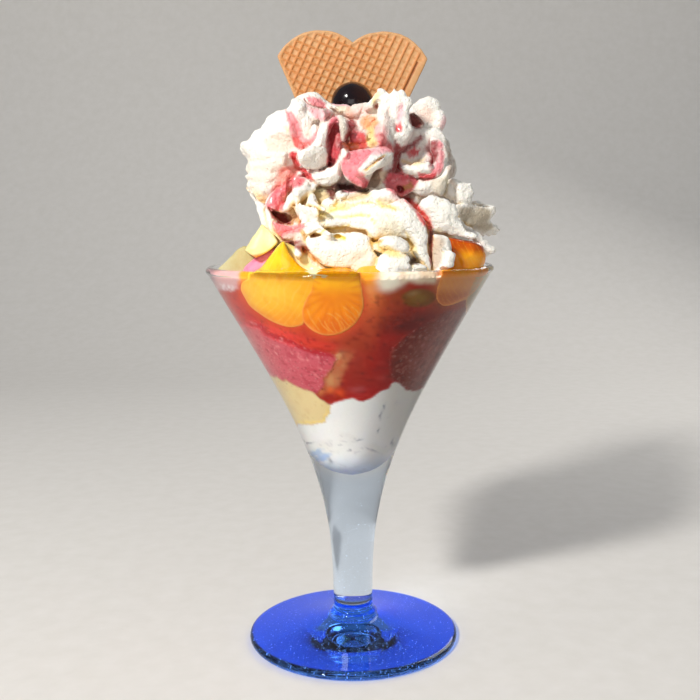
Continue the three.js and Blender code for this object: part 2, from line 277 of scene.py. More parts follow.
def thin_out(V, Q, target):
    """The same surface with about this many triangles, kept densest where it curves."""
    me = bpy.data.meshes.new("tmp")
    me.vertices.add(len(V))
    me.vertices.foreach_set("co", V.astype(F32).ravel())
    me.loops.add(Q.size)
    me.loops.foreach_set("vertex_index", Q.ravel().astype(np.int32))
    me.polygons.add(len(Q))
    me.polygons.foreach_set("loop_start", (np.arange(len(Q)) * Q.shape[1]).astype(np.int32))
    me.update(calc_edges=True)
    ob = bpy.data.objects.new("tmp", me)
    bpy.context.scene.collection.objects.link(ob)
    mod = ob.modifiers.new("thin", "DECIMATE")
    mod.ratio = min(1.0, target / (len(Q) * (Q.shape[1] - 2)))
    mod.use_collapse_triangulate = True
    dg = bpy.context.evaluated_depsgraph_get()
    out = ob.evaluated_get(dg).to_mesh()
    n = len(out.vertices)
    W = np.zeros(n * 3, F32)
    out.vertices.foreach_get("co", W)
    out.calc_loop_triangles()
    T = np.zeros(len(out.loop_triangles) * 3, np.int32)
    out.loop_triangles.foreach_get("vertices", T)
    ob.evaluated_get(dg).to_mesh_clear()
    bpy.data.objects.remove(ob)
    bpy.data.meshes.remove(me)
    return W.reshape(-1, 3).astype(float), T.reshape(-1, 3).astype(np.int64)


def normals(V, Q):
    n = np.cross(V[Q[:, 2]] - V[Q[:, 0]], V[Q[:, 3 if Q.shape[1] > 3 else 1]] - V[Q[:, 1 if Q.shape[1] > 3 else 0]])
    if Q.shape[1] == 3:
        n = np.cross(V[Q[:, 1]] - V[Q[:, 0]], V[Q[:, 2]] - V[Q[:, 0]])
    N = np.zeros_like(V)
    for j in range(Q.shape[1]):
        np.add.at(N, Q[:, j], n)
    return N / np.maximum(np.linalg.norm(N, axis=1, keepdims=True), 1e-9)


# ------------------------------------------------------------------ shapes laid out in a view
class Place:
    """Turns the object about its axis (and mirrors it) before a view's shapes are laid on it, so that the
    front's kind of folds can be laid on the other sides too."""

    def __init__(self, turn=0.0, mirror=False, push=0.0, scale=1.0):
        t = math.radians(turn)
        A = np.array([[math.cos(t), math.sin(t), 0], [-math.sin(t), math.cos(t), 0], [0, 0, 1.0]])
        if mirror:
            A = np.diag([1.0, -1.0, 1.0]) @ A
        self.A, self.push, self.scale = A, push, scale
        self.plain = turn == 0 and not mirror and push == 0 and scale == 1

    def to_view(self, x, y, z):
        if self.plain:
            return x, y, z
        A, s = self.A, self.scale
        return (A[0, 0] * x + A[0, 1] * y) / s, (A[1, 0] * x + A[1, 1] * y) / s + self.push, z

    def from_view(self, P):
        P = np.array(P, float)
        P[:, 1] -= self.push
        P[:, :2] *= self.scale
        return P @ np.linalg.inv(self.A).T


FRONT = Place()


def patch(g, poly, y0, gx=0.0, gz=0.0, bulge=3.0, bw=4.0, thick=12.0, r=0.9, k=0.5, rag=0.0, rag_wl=5.0, ridge=None,
          place=FRONT, cut=False, seed=11, taper=0.42):
    """A cushion-like slab with this outline in the view, its rim at depth y0, bulging forward in the middle."""
    P = catmull(poly, 4, True)
    lo, hi = P.min(0) - 7, P.max(0) + 7
    us, vs = np.arange(lo[0], hi[0], 0.5), np.arange(lo[1], hi[1], 0.5)
    uu, vv = np.meshgrid(us, vs, indexing="ij")
    d2 = sd_poly(uu, vv, P) / 2.28
    if rag:
        d2 = d2 + rag * (noise2(uu, vv, rag_wl, seed) + 0.5 * noise2(uu, vv, rag_wl / 2.2, seed + 1))
    cu, cv = P.mean(0)
    e = np.maximum(-d2, 0)
    yf = y0 + gx * (uu - cu) / 2.28 - gz * (vv - cv) / 2.28 - bulge * (1 - np.exp(-e / bw))
    if ridge:
        wob = 1.6 * noise2(uu, vv, 26.0, seed + 5)
        if ridge[0] == "fan":
            _, pu, pv, count, amp = ridge
            ph = np.arctan2(vv - pv, uu - pu) * count / 2 + wob * 0.8
            near = step(4, 16, np.hypot(uu - pu, vv - pv))
        else:
            _, deg, wl, amp, _ = ridge
            t = math.radians(deg)
            ph = (math.cos(t) * uu + math.sin(t) * vv) / (wl * 2.28) * math.pi + wob
            near = 1.0
        yf = yf - amp * near * (np.abs(np.sin(ph)) - 0.6) * step(0, 2.0, e)
    gy, gxx = np.gradient(yf, 0.5 / 2.28)
    sc = 1 / np.sqrt(1 + np.minimum(gy * gy + gxx * gxx, 9))
    ya, yb = yf.min() - 1.5, yf.max() + thick + 1.5
    C = []
    for y in (ya, yb):
        for u in (lo[0], hi[0]):
            for v in (lo[1], hi[1]):
                C.append(at(u, v, y))
    C = place.from_view(C)
    sl, (X, Y, Z) = g.block(C.min(0) - 1, C.max(0) + 1)
    if min(s.stop - s.start for s in sl) < 1:
        return
    x, y, z = place.to_view(X, Y, Z)
    u, v, s = proj(x, y, z)

    def look(u, v, *tables):
        fu = np.clip((u - us[0]) / 0.5, 0, len(us) - 1.001)
        fv = np.clip((v - vs[0]) / 0.5, 0, len(vs) - 1.001)
        i, j = fu.astype(np.int32), fv.astype(np.int32)
        a, b = (fu - i).astype(F32), (fv - j).astype(F32)
        w00, w10, w01, w11 = (1 - a) * (1 - b), a * (1 - b), (1 - a) * b, a * b
        return [M[i, j] * w00 + M[i + 1, j] * w10 + M[i, j + 1] * w01 + M[i + 1, j + 1] * w11 for M in (t.astype(F32) for t in tables)]
    front, k2 = look(u, v, yf, sc)
    if g.wave is not None and not cut:
        # behind its face a fold draws in, and its walls waver
        behind = np.maximum(y - front, 0)
        ramp = step(1.0, 7.0, behind)
        lat, = look(u + 8.5 * ramp * g.wave[0][sl], v + 8.5 * ramp * g.wave[1][sl], d2)
        lat = lat * place.scale + taper * np.maximum(behind - 1.5, 0)
    else:
        lat = look(u, v, d2)[0] * place.scale
    fr = (front - y) * k2 * place.scale
    bk = (y - (y0 + gx * (u - cu) / 2.28 - gz * (v - cv) / 2.28 + thick)) * place.scale
    if g.wave is not None and not cut:
        # its far side is round and uneven
        lat = smax(lat, bk + 3.5 * g.wave[1][sl], min(9.0, 0.8 * thick))
        q = np.maximum(lat + r, 0) ** 2 + np.maximum(fr + r, 0) ** 2
        sd = np.minimum(np.maximum(lat, fr) + r, 0) + np.sqrt(q) - r
    else:
        q = np.maximum(lat + r, 0) ** 2 + np.maximum(fr + r, 0) ** 2 + np.maximum(bk + r, 0) ** 2
        sd = np.minimum(np.maximum(np.maximum(lat, fr), bk) + r, 0) + np.sqrt(q) - r
    if cut:
        g.cut(sl, sd, k)
    else:
        g.add(sl, sd, k)


def dig(g, poly, y_to, r=0.8, k=0.6, place=FRONT, y_from=-70):
    """A hole with this outline from the front in to depth y_to."""
    patch(g, poly, y_from, bulge=0.0, thick=y_to - y_from, r=r, k=k, place=place, cut=True)


def press(g, poly, amount, soft=1.5, ya=-70, yb=10, place=FRONT):
    """Pushes the front surface in (or out) under this outline, with a soft edge."""
    P = catmull(poly, 4, True)
    C = place.from_view([at(u, v, y) for u in (P[:, 0].min() - 6, P[:, 0].max() + 6)
                         for v in (P[:, 1].min() - 6, P[:, 1].max() + 6) for y in (ya, yb)])
    sl, (X, Y, Z) = g.block(C.min(0), C.max(0))
    x, y, z = place.to_view(X, Y, Z)
    u, v, s = proj(x, y, z)
    d = sd_poly(u, v, P) / 2.28
    g.S[sl] += (amount * step(soft, -soft, d) * step(yb, yb - 4, y)).astype(F32)


def line_press(g, pts, amount, width, ya=-70, yb=10, place=FRONT):
    """A groove (or a ridge, if amount is negative) along a line in the view."""
    P = catmull(pts, 5, False)
    C = place.from_view([at(u, v, y) for u in (P[:, 0].min() - 8, P[:, 0].max() + 8)
                         for v in (P[:, 1].min() - 8, P[:, 1].max() + 8) for y in (ya, yb)])
    sl, (X, Y, Z) = g.block(C.min(0), C.max(0))
    x, y, z = place.to_view(X, Y, Z)
    u, v, s = proj(x, y, z)
    best = np.full(u.shape, 1e9)
    L = len(P) - 1
    taper = np.zeros(u.shape)
    for n, ((ax, ay), (bx, by)) in enumerate(zip(P[:-1], P[1:])):
        ex, ey = bx - ax, by - ay
        t = np.clip(((u - ax) * ex + (v - ay) * ey) / (ex * ex + ey * ey + 1e-9), 0, 1)
        d = (u - ax - ex * t) ** 2 + (v - ay - ey * t) ** 2
        m = d < best
        best = np.where(m, d, best)
        f = (n + t) / L
        taper = np.where(m, np.minimum(1, np.minimum(f, 1 - f) * 5 + 0.25), taper)
    g.S[sl] += (amount * taper * np.exp(-best / (width * 2.28) ** 2) * step(yb, yb - 4, y)).astype(F32)


def stroke(g, pts, rad, k=0.7, place=FRONT, flat=1.0):
    """A rounded string along points (u, v, depth), with a radius at each point in mm."""
    P = np.array([at(*p) for p in pts])
    R = np.array(rad if hasattr(rad, "__len__") else [rad] * len(pts), float)
    M = catmull(np.column_stack([P, R]), 5, False)
    M[:, :3] = place.from_view(M[:, :3])
    m = M[:, 3].max() + 2.5
    sl, (X, Y, Z) = g.block(M[:, :3].min(0) - m, M[:, :3].max(0) + m)
    best = np.full(np.broadcast_shapes(X.shape, Y.shape, Z.shape), 9.0)
    for a, b in zip(M[:-1], M[1:]):
        e = b[:3] - a[:3]
        t = np.clip(((X - a[0]) * e[0] + (Y - a[1]) * e[1] + (Z - a[2]) * e[2]) / max(e @ e, 1e-9), 0, 1)
        d = np.sqrt((X - a[0] - e[0] * t) ** 2 + (Y - a[1] - e[1] * t) ** 2 + ((Z - a[2] - e[2] * t) / flat) ** 2)
        best = np.minimum(best, d - (a[3] + (b[3] - a[3]) * t))
    g.add(sl, best, k)


def dollop(g, p, q, w, t, n=5, depth=0.1, k=1.0, twist=0.35):
    """A ridged ellipsoid from p to q, half width w and half thickness t."""
    p, q = np.array(p, float), np.array(q, float)
    ax = q - p
    L = np.linalg.norm(ax) / 2
    ax /= 2 * L
    side = np.cross(ax, [0, 1, 0] if abs(ax[2]) > 0.8 else [0, 0, 1])
    side /= np.linalg.norm(side)
    up = np.cross(side, ax)
    c = (p + q) / 2
    R = max(L + 0.5 * t, w, t) + 2
    sl, (X, Y, Z) = g.block(c - R, c + R)
    X, Y, Z = X - c[0], Y - c[1], Z - c[2]
    a = X * side[0] + Y * side[1] + Z * side[2]
    b = X * up[0] + Y * up[1] + Z * up[2]
    s = (X * ax[0] + Y * ax[1] + Z * ax[2]) / (L + 0.5 * t)
    th = np.arctan2(b / t, a / w) - twist * s
    rr = np.sqrt((a / w) ** 2 + (b / t) ** 2)
    rad = 1 + depth * (2 * np.abs(np.cos(n * th / 2)) - 1)
    rho = np.sqrt((rr / rad) ** 2 + s * s)
    g.add(sl, (rho - 1) * min(w, t, L + 0.5 * t), k)


# ------------------------------------------------------------------ Blender helpers
def srgb(*c):
    out = []
    for x in c:
        x = x / 255
        out.append(x / 12.92 if x <= 0.04045 else ((x + 0.055) / 1.055) ** 2.4)
    return np.array(out)


def lin(c):
    c = np.asarray(c, float) / 255
    return np.where(c <= 0.04045, c / 12.92, ((c + 0.055) / 1.055) ** 2.4)


def make(name, V, faces, mat, node=None, attrs=None, smooth=True, stage=False):
    """A mesh object from vertices in mm and faces (arrays of quads or triangles)."""
    me = bpy.data.meshes.new(name)
    groups = faces if isinstance(faces, list) else [faces]
    loops = np.concatenate([f.ravel() for f in groups])
    sizes = np.concatenate([np.full(len(f), f.shape[1]) for f in groups])
    starts = np.concatenate([[0], np.cumsum(sizes)[:-1]])
    me.vertices.add(len(V))
    me.vertices.foreach_set("co", (np.asarray(V) * MM).astype(F32).ravel())
    me.loops.add(len(loops))
    me.loops.foreach_set("vertex_index", loops.astype(np.int32))
    me.polygons.add(len(sizes))
    me.polygons.foreach_set("loop_start", starts.astype(np.int32))
    me.polygons.foreach_set("use_smooth", np.full(len(sizes), smooth))
    me.update(calc_edges=True)
    me.validate()
    for key, val in (attrs or {}).items():
        val = np.asarray(val)
        if val.ndim == 2:
            a = me.attributes.new(key, "FLOAT_COLOR", "POINT")
            c = np.ones((len(V), 4), F32)
            c[:, :3] = val
            a.data.foreach_set("color", c.ravel())
        else:
            a = me.attributes.new(key, "FLOAT", "POINT")
            a.data.foreach_set("value", val.astype(F32))
    ob = bpy.data.objects.new(name, me)
    bpy.context.scene.collection.objects.link(ob)
    me.materials.append(mat)
    if stage:
        return ob
    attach(ob, "root")
    if node:
        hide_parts(node)
    return ob


class Mat:
    """A small builder for node materials."""

    def __init__(self, name):
        self.m = bpy.data.materials.new(name)
        self.m.use_nodes = True
        self.nt = self.m.node_tree
        self.nt.nodes.clear()
        self.out = self.nt.nodes.new("ShaderNodeOutputMaterial")
        self.p = self.nt.nodes.new("ShaderNodeBsdfPrincipled")
        self.link(self.p.outputs[0], self.out.inputs["Surface"])
        self.coord = self.nt.nodes.new("ShaderNodeTexCoord").outputs["Object"]

    def link(self, a, b):
        self.nt.links.new(a, b)

    def set(self, **kw):
        for k, v in kw.items():
            k = k.replace("_", " ")
            s = self.p.inputs[k]
            if hasattr(v, "links") or isinstance(v, bpy.types.NodeSocket):
                self.link(v, s)
            elif hasattr(v, "__len__") and len(v) == 3 and len(s.default_value) == 4:
                s.default_value = (*v, 1)
            else:
                s.default_value = v
        return self

    def attr(self, name, out="Color"):
        n = self.nt.nodes.new("ShaderNodeAttribute")
        n.attribute_name = name
        return n.outputs[out]

    def noise(self, scale, detail=3, rough=0.55, coord=None, distortion=0.0, lac=2.0):
        n = self.nt.nodes.new("ShaderNodeTexNoise")
        n.inputs["Scale"].default_value = scale
        n.inputs["Detail"].default_value = detail
        n.inputs["Roughness"].default_value = rough
        n.inputs["Distortion"].default_value = distortion
        self.link(coord or self.coord, n.inputs["Vector"])
        return n.outputs["Fac"]

    def voronoi(self, scale, feature="F1", out="Distance", coord=None, rand=1.0):
        n = self.nt.nodes.new("ShaderNodeTexVoronoi")
        n.feature = feature
        n.inputs["Scale"].default_value = scale
        n.inputs["Randomness"].default_value = rand
        self.link(coord or self.coord, n.inputs["Vector"])
        return n.outputs[out]

    def scaled(self, x, y, z, coord=None):
        n = self.nt.nodes.new("ShaderNodeMapping")
        n.inputs["Scale"].default_value = (x, y, z)
        self.link(coord or self.coord, n.inputs["Vector"])
        return n.outputs[0]

    def ramp(self, fac, *stops, mode="LINEAR"):
        n = self.nt.nodes.new("ShaderNodeValToRGB")
        n.color_ramp.interpolation = mode
        el = n.color_ramp.elements
        while len(el) < len(stops):
            el.new(0.5)
        for e, (pos, c) in zip(el, stops):
            e.position = pos
            e.color = (*c, 1) if hasattr(c, "__len__") else (c, c, c, 1)
        self.link(fac, n.inputs[0])
        return n.outputs[0]

    def mix(self, fac, a, b, kind="MIX"):
        n = self.nt.nodes.new("ShaderNodeMix")
        n.data_type = "RGBA"
        n.blend_type = kind
        for sock, v in ((n.inputs[0], fac), (n.inputs[6], a), (n.inputs[7], b)):
            if isinstance(v, bpy.types.NodeSocket):
                self.link(v, sock)
            elif hasattr(v, "__len__"):
                sock.default_value = (*v, 1)
            elif sock.type == "VALUE":
                sock.default_value = v
            else:
                sock.default_value = (v, v, v, 1)
        return n.outputs[2]

    def math(self, op, a, b=0.0, clamp=False):
        n = self.nt.nodes.new("ShaderNodeMath")
        n.operation = op
        n.use_clamp = clamp
        for sock, v in ((n.inputs[0], a), (n.inputs[1], b)):
            if isinstance(v, bpy.types.NodeSocket):
                self.link(v, sock)
            else:
                sock.default_value = v
        return n.outputs[0]

    def range(self, v, a, b, c, d):
        n = self.nt.nodes.new("ShaderNodeMapRange")
        for k, x in zip(("From Min", "From Max", "To Min", "To Max"), (a, b, c, d)):
            n.inputs[k].default_value = x
        self.link(v, n.inputs["Value"])
        return n.outputs[0]

    def bump(self, *layers):
        """layers of (height socket, distance in mm, strength); the first is the coarsest."""
        prev = None
        for h, dist, strength in layers:
            n = self.nt.nodes.new("ShaderNodeBump")
            n.inputs["Distance"].default_value = dist * MM
            n.inputs["Strength"].default_value = strength
            self.link(h, n.inputs["Height"])
            if prev is not None:
                self.link(prev, n.inputs["Normal"])
            prev = n.outputs[0]
        self.link(prev, self.p.inputs["Normal"])
        return self


def lathe(profile, seg, close_bottom=True, close_top=True):
    """Vertices and faces of a turned profile [(r, z)]; ends on the axis are single points."""
    V, rings = [], []
    a = np.arange(seg) / seg * 2 * math.pi
    for r, z in profile:
        if r < 1e-6:
            rings.append(([len(V)], True))
            V.append((0, 0, z))
        else:
            rings.append((list(range(len(V), len(V) + seg)), False))
            V.extend(zip(r * np.sin(a), -r * np.cos(a), np.full(seg, z)))
    Q, T = [], []
    for (A, pa), (B, pb) in zip(rings[:-1], rings[1:]):
        for i in range(seg):
            j = (i + 1) % seg
            if pa:
                T.append((A[0], B[j], B[i]))
            elif pb:
                T.append((A[i], A[j], B[0]))
            else:
                Q.append((A[i], A[j], B[j], B[i]))
    return np.array(V, float), [np.array(f) for f in (Q, T) if f]


# ------------------------------------------------------------------ camera, floor, light
cam_data = bpy.data.cameras.new("camera")
cam_data.sensor_width = 36
cam_data.lens = FOC / 700 * 36
cam_data.clip_start, cam_data.clip_end = 0.02, 20
cam_data.shift_x = -SHIFT / 700
camera = bpy.data.objects.new("camera", cam_data)
bpy.context.scene.collection.objects.link(camera)
right = Vector((1, 0, 0))
up = Vector((0, ST, CT))
back = Vector((0, -CT, ST))
R = Matrix((right, up, back)).transposed()
camera.rotation_mode = "QUATERNION"
camera.rotation_quaternion = (R @ Matrix.Rotation(ROLL, 3, "Z").inverted()).to_quaternion()
camera.location = (0, -CAM_D * MM, CAM_Z * MM)
scene = bpy.context.scene
scene.camera = camera

scene.view_settings.view_transform = "Standard"
scene.view_settings.look = "None"
scene.view_settings.exposure = 0.0
scene.cycles.use_denoising = True
scene.cycles.max_bounces = 14
scene.cycles.transmission_bounces = 12
scene.cycles.glossy_bounces = 4
scene.cycles.diffuse_bounces = 4
scene.cycles.transparent_max_bounces = 16
scene.cycles.sample_clamp_indirect = 6.0
scene.cycles.caustics_reflective = False
scene.cycles.caustics_refractive = True


def stage_floor():
    # a plain pale sweep: level floor that curves up behind
    xs = np.linspace(-2.2, 2.2, 12) * 1000
    prof = [(-1800, 0), (-600, 0), (300, 0)]
    prof += [(700 + 600 * math.sin(t), 600 - 600 * math.cos(t)) for t in np.linspace(0, math.pi / 2, 14)]
    prof += [(1300, 2200)]
    V = np.array([(x, y, z) for y, z in prof for x in xs], float)
    n = len(xs)
    Q = np.array([(r * n + c, r * n + c + 1, (r + 1) * n + c + 1, (r + 1) * n + c) for r in range(len(prof) - 1) for c in range(n - 1)])
    m = Mat("pale_floor")
    grain = m.noise(90, 4)
    m.set(Base_Color=m.mix(m.range(grain, 0.3, 0.7, 0, 1), srgb(226, 223, 218), srgb(231, 228, 224)), Roughness=0.75)
    m.bump((m.noise(400, 3), 0.05, 0.2))
    make("floor", V, Q, m.m, stage=True)


def area(name, loc, target, size, power, color, sy=None):
    d = bpy.data.lights.new(name, "AREA")
    d.shape = "RECTANGLE"
    d.size, d.size_y = size, sy or size
    d.energy = power
    d.color = color
    o = bpy.data.objects.new(name, d)
    bpy.context.scene.collection.objects.link(o)
    o.location = loc
    o.rotation_euler = (Vector(target) - Vector(loc)).to_track_quat("-Z", "Y").to_euler()
    return o


stage_floor()
area("key", (-0.60, -0.82, 0.86), (0, 0, 0.17), 0.15, 15.5, (1.0, 0.975, 0.93))
area("front", (-0.15, -1.15, 0.12), (0, 0, 0.13), 0.7, 2.6, (1.0, 0.98, 0.96))
area("rim", (0.55, 0.75, 0.70), (0, 0, 0.18), 0.5, 3.0, (1.0, 0.98, 0.95))
world = bpy.data.worlds.new("studio")
world.use_nodes = True
bg = world.node_tree.nodes["Background"]
bg.inputs[0].default_value = (0.80, 0.84, 0.90, 1)
bg.inputs[1].default_value = 0.26
scene.world = world

# ------------------------------------------------------------------ glass
def glass_material(name, color, rough, ior, shadow, level=1.0, thick=None):
    m = Mat(name)
    film = m.noise(22, 4, 0.6)
    dust = m.voronoi(900)
    r = m.range(film, 0.35, 0.75, rough, rough + 0.03)
    r = m.math("ADD", r, m.range(dust, 0.0, 0.10, 0.10, 0.0))
    c = m.mix(m.range(m.noise(8, 2), 0.3, 0.7, 0, 1), color, tuple(c * 0.985 for c in color))
    if thick:
        # solid glass swallows a little light
        c = m.mix(m.attr("solid", "Fac"), c, thick)
    m.set(Base_Color=c, Roughness=r, IOR=ior, Transmission_Weight=1.0, Specular_Tint=(level, level, level))
    m.bump((m.noise(35, 2), 0.25, 0.10))
    # lamps shine through, tinted, so that what the glass holds is lit
    lp = m.nt.nodes.new("ShaderNodeLightPath").outputs["Is Shadow Ray"]
    tr = m.nt.nodes.new("ShaderNodeBsdfTransparent")
    tr.inputs[0].default_value = (*shadow, 1)
    mx = m.nt.nodes.new("ShaderNodeMixShader")
    m.link(lp, mx.inputs[0])
    m.link(m.p.outputs[0], mx.inputs[1])
    m.link(tr.outputs[0], mx.inputs[2])
    m.link(mx.outputs[0], m.out.inputs["Surface"])
    return m.m


def smooth_profile(pts, n=5):
    return [tuple(p) for p in catmull(pts, n, False)]


outer = smooth_profile(OUTER, 6)
bead = []
for i in range(15):
    t = -0.55 + (math.pi + 0.75) * i / 14
    bead.append((R_RIM - BEAD + BEAD * math.cos(t), H_GLASS - BEAD + BEAD * math.sin(t)))
inner = smooth_profile(INNER, 4)[::-1]
inner[-1] = (0, Z_WELL)
prof = [(0, 16.9), (6.5, 16.9), (8.2, 17.0)] + outer + bead + inner
V, Fc = lathe(prof, 160)
clear = glass_material("clear_glass", (0.985, 0.993, 0.996), 0.0, 1.5, (0.995, 0.997, 1.0), 0.4, (0.74, 0.85, 0.99))
make("glass_bowl_clear", V, Fc, clear, "glass_bowl", {"solid": step(90, 74, V[:, 2]) * step(16, 24, V[:, 2] + 4)})

foot = [(0, 0.05), (20, 0.05), (40, 0.05), (44, 0.05), (45.6, 0.07), (46.6, 0.3), (47.2, 0.9), (47.4, 1.6), (47.2, 2.4), (46.6, 2.95), (45.2, 3.4), (42, 3.8),
        (36, 4.6), (30, 5.5), (22, 7.0), (16, 8.3), (12.6, 9.2), (11.2, 9.7), (10.8, 10.3), (10.9, 11.2), (10.5, 12.2), (9.5, 13.6),
        (8.9, 15), (8.8, 16.2), (9.0, 17.0), (8.6, 17.3), (6, 17.3), (0, 17.3)]
V, Fc = lathe(smooth_profile(foot, 4), 160)
blue = glass_material("blue_glass", (0.06, 0.23, 0.86), 0.01, 1.48, (0.38, 0.50, 0.86), 0.4)
make("glass_foot_blue", V, Fc, blue, "glass_foot")


def bubbles(name, count, inside, seed, mat, rmin, rmax):
    """Tiny seed bubbles in the glass, one joined mesh of small icosahedra."""
    rng = np.random.default_rng(seed)
    t = (1 + 5 ** 0.5) / 2
    ico = np.array([(-1, t, 0), (1, t, 0), (-1, -t, 0), (1, -t, 0), (0, -1, t), (0, 1, t), (0, -1, -t), (0, 1, -t), (t, 0, -1), (t, 0, 1), (-t, 0, -1), (-t, 0, 1)], float)
    ico /= np.linalg.norm(ico[0])
    tri = np.array([(0, 11, 5), (0, 5, 1), (0, 1, 7), (0, 7, 10), (0, 10, 11), (1, 5, 9), (5, 11, 4), (11, 10, 2), (10, 7, 6), (7, 1, 8),
                    (3, 9, 4), (3, 4, 2), (3, 2, 6), (3, 6, 8), (3, 8, 9), (4, 9, 5), (2, 4, 11), (6, 2, 10), (8, 6, 7), (9, 8, 1)])
    V, T = [], []
    while len(V) < count:
        p = inside(rng)
        if p is None:
            continue
        s = rmin + (rmax - rmin) * rng.random() ** 3
        T.append(tri + 12 * len(V))
        V.append(ico * s * np.array([1, 1, 0.8 + 0.5 * rng.random()]) + p)
    return make(name, np.concatenate(V), np.concatenate(T), mat)


def in_foot(rng):
    r, a = R_FOOT * 0.97 * math.sqrt(rng.random()), rng.random() * 2 * math.pi
    top = np.interp(r, [0, 11, 15, 30, 45, 47], [9, 9, 8.2, 5.2, 3.1, 2.2])
    return np.array([r * math.sin(a), -r * math.cos(a), 0.6 + (top - 1.2) * rng.random()])


def in_stem(rng):
    z = 19 + 58 * rng.random()
    R = np.interp(z, [p[1] for p in OUTER], [p[0] for p in OUTER]) - 0.8
    r, a = R * math.sqrt(rng.random()), rng.random() * 2 * math.pi
    return np.array([r * math.sin(a), -r * math.cos(a), z])


m = Mat("seed_bubbles_glint")
# the bubbles glow faintly by emission: painted glints of light, not a lamp
m.set(Base_Color=m.mix(m.noise(300), (0.85, 0.90, 1.0), (0.97, 0.98, 1.0)), Roughness=0.15, Emission_Color=(0.75, 0.88, 1.0), Emission_Strength=0.35)
bubbles("foot_bubbles", 1100, in_foot, 5, m.m, 0.11, 0.32)
bubbles("stem_bubbles", 140, in_stem, 6, m.m, 0.08, 0.17)

# ------------------------------------------------------------------ what fills the bowl
# Outlines of the layers as they show against the front of the bowl; the far side carries on in the same way.
WHITE = [(286, 416), (300, 419), (313, 421), (322, 420.5), (328, 418), (331, 411), (330, 403), (338, 400), (345, 397), (352, 395.5), (358, 397.5),
         (363, 399), (369, 395.5), (375, 392), (386, 386), (391, 381), (395, 379.5), (399, 382.5), (402, 387), (409, 388), (415, 386), (422, 384.5), (450, 384),
         (450, 540), (240, 540), (240, 412)]
VANILLA = [(240, 366), (262, 369), (271, 372), (282, 376), (296, 382.5), (307, 388.5), (316, 390.5), (321, 396), (326, 400), (330, 403), (331, 411), (328, 418),
           (322, 420.5), (313, 421), (300, 419), (286, 416), (236, 412)]
STRAW_L = [(215, 306), (225, 311), (238, 317), (250, 319), (262, 322), (270, 330), (281, 333.5), (290, 338), (300, 343), (312, 348), (322, 351), (334, 353), (338, 356),
           (334, 362), (331, 369), (326, 376), (323, 383), (319, 390), (316, 390.5), (307, 388.5), (296, 382.5), (282, 376), (271, 372), (262, 369), (215, 366)]
STRAW_R = [(393, 379), (391, 372), (389.5, 362), (390, 352), (396, 343), (404, 336), (413, 330), (424, 324), (434, 317), (442, 311), (455, 308), (500, 305),
           (500, 384), (422, 384.5), (415, 386), (409, 388), (402, 387), (399, 382.5), (395, 379.5)]
LAYERS = {"white": WHITE, "vanilla": VANILLA, "left": STRAW_L, "right": STRAW_R}


def soft(u, v, cx, cy, rx, ry, ang=0.0, hard=1.0):
    """1 in a soft ellipse, falling to 0 round it."""
    t = math.radians(ang)
    du, dv = u - cx, v - cy
    a = (du * math.cos(t) + dv * math.sin(t)) / rx
    b = (-du * math.sin(t) + dv * math.cos(t)) / ry
    return np.exp(-(a * a + b * b) ** hard)


def paint(col, w, c):
    w = np.clip(w, 0, 1)[:, None]
    return col * (1 - w) + lin(c) * w


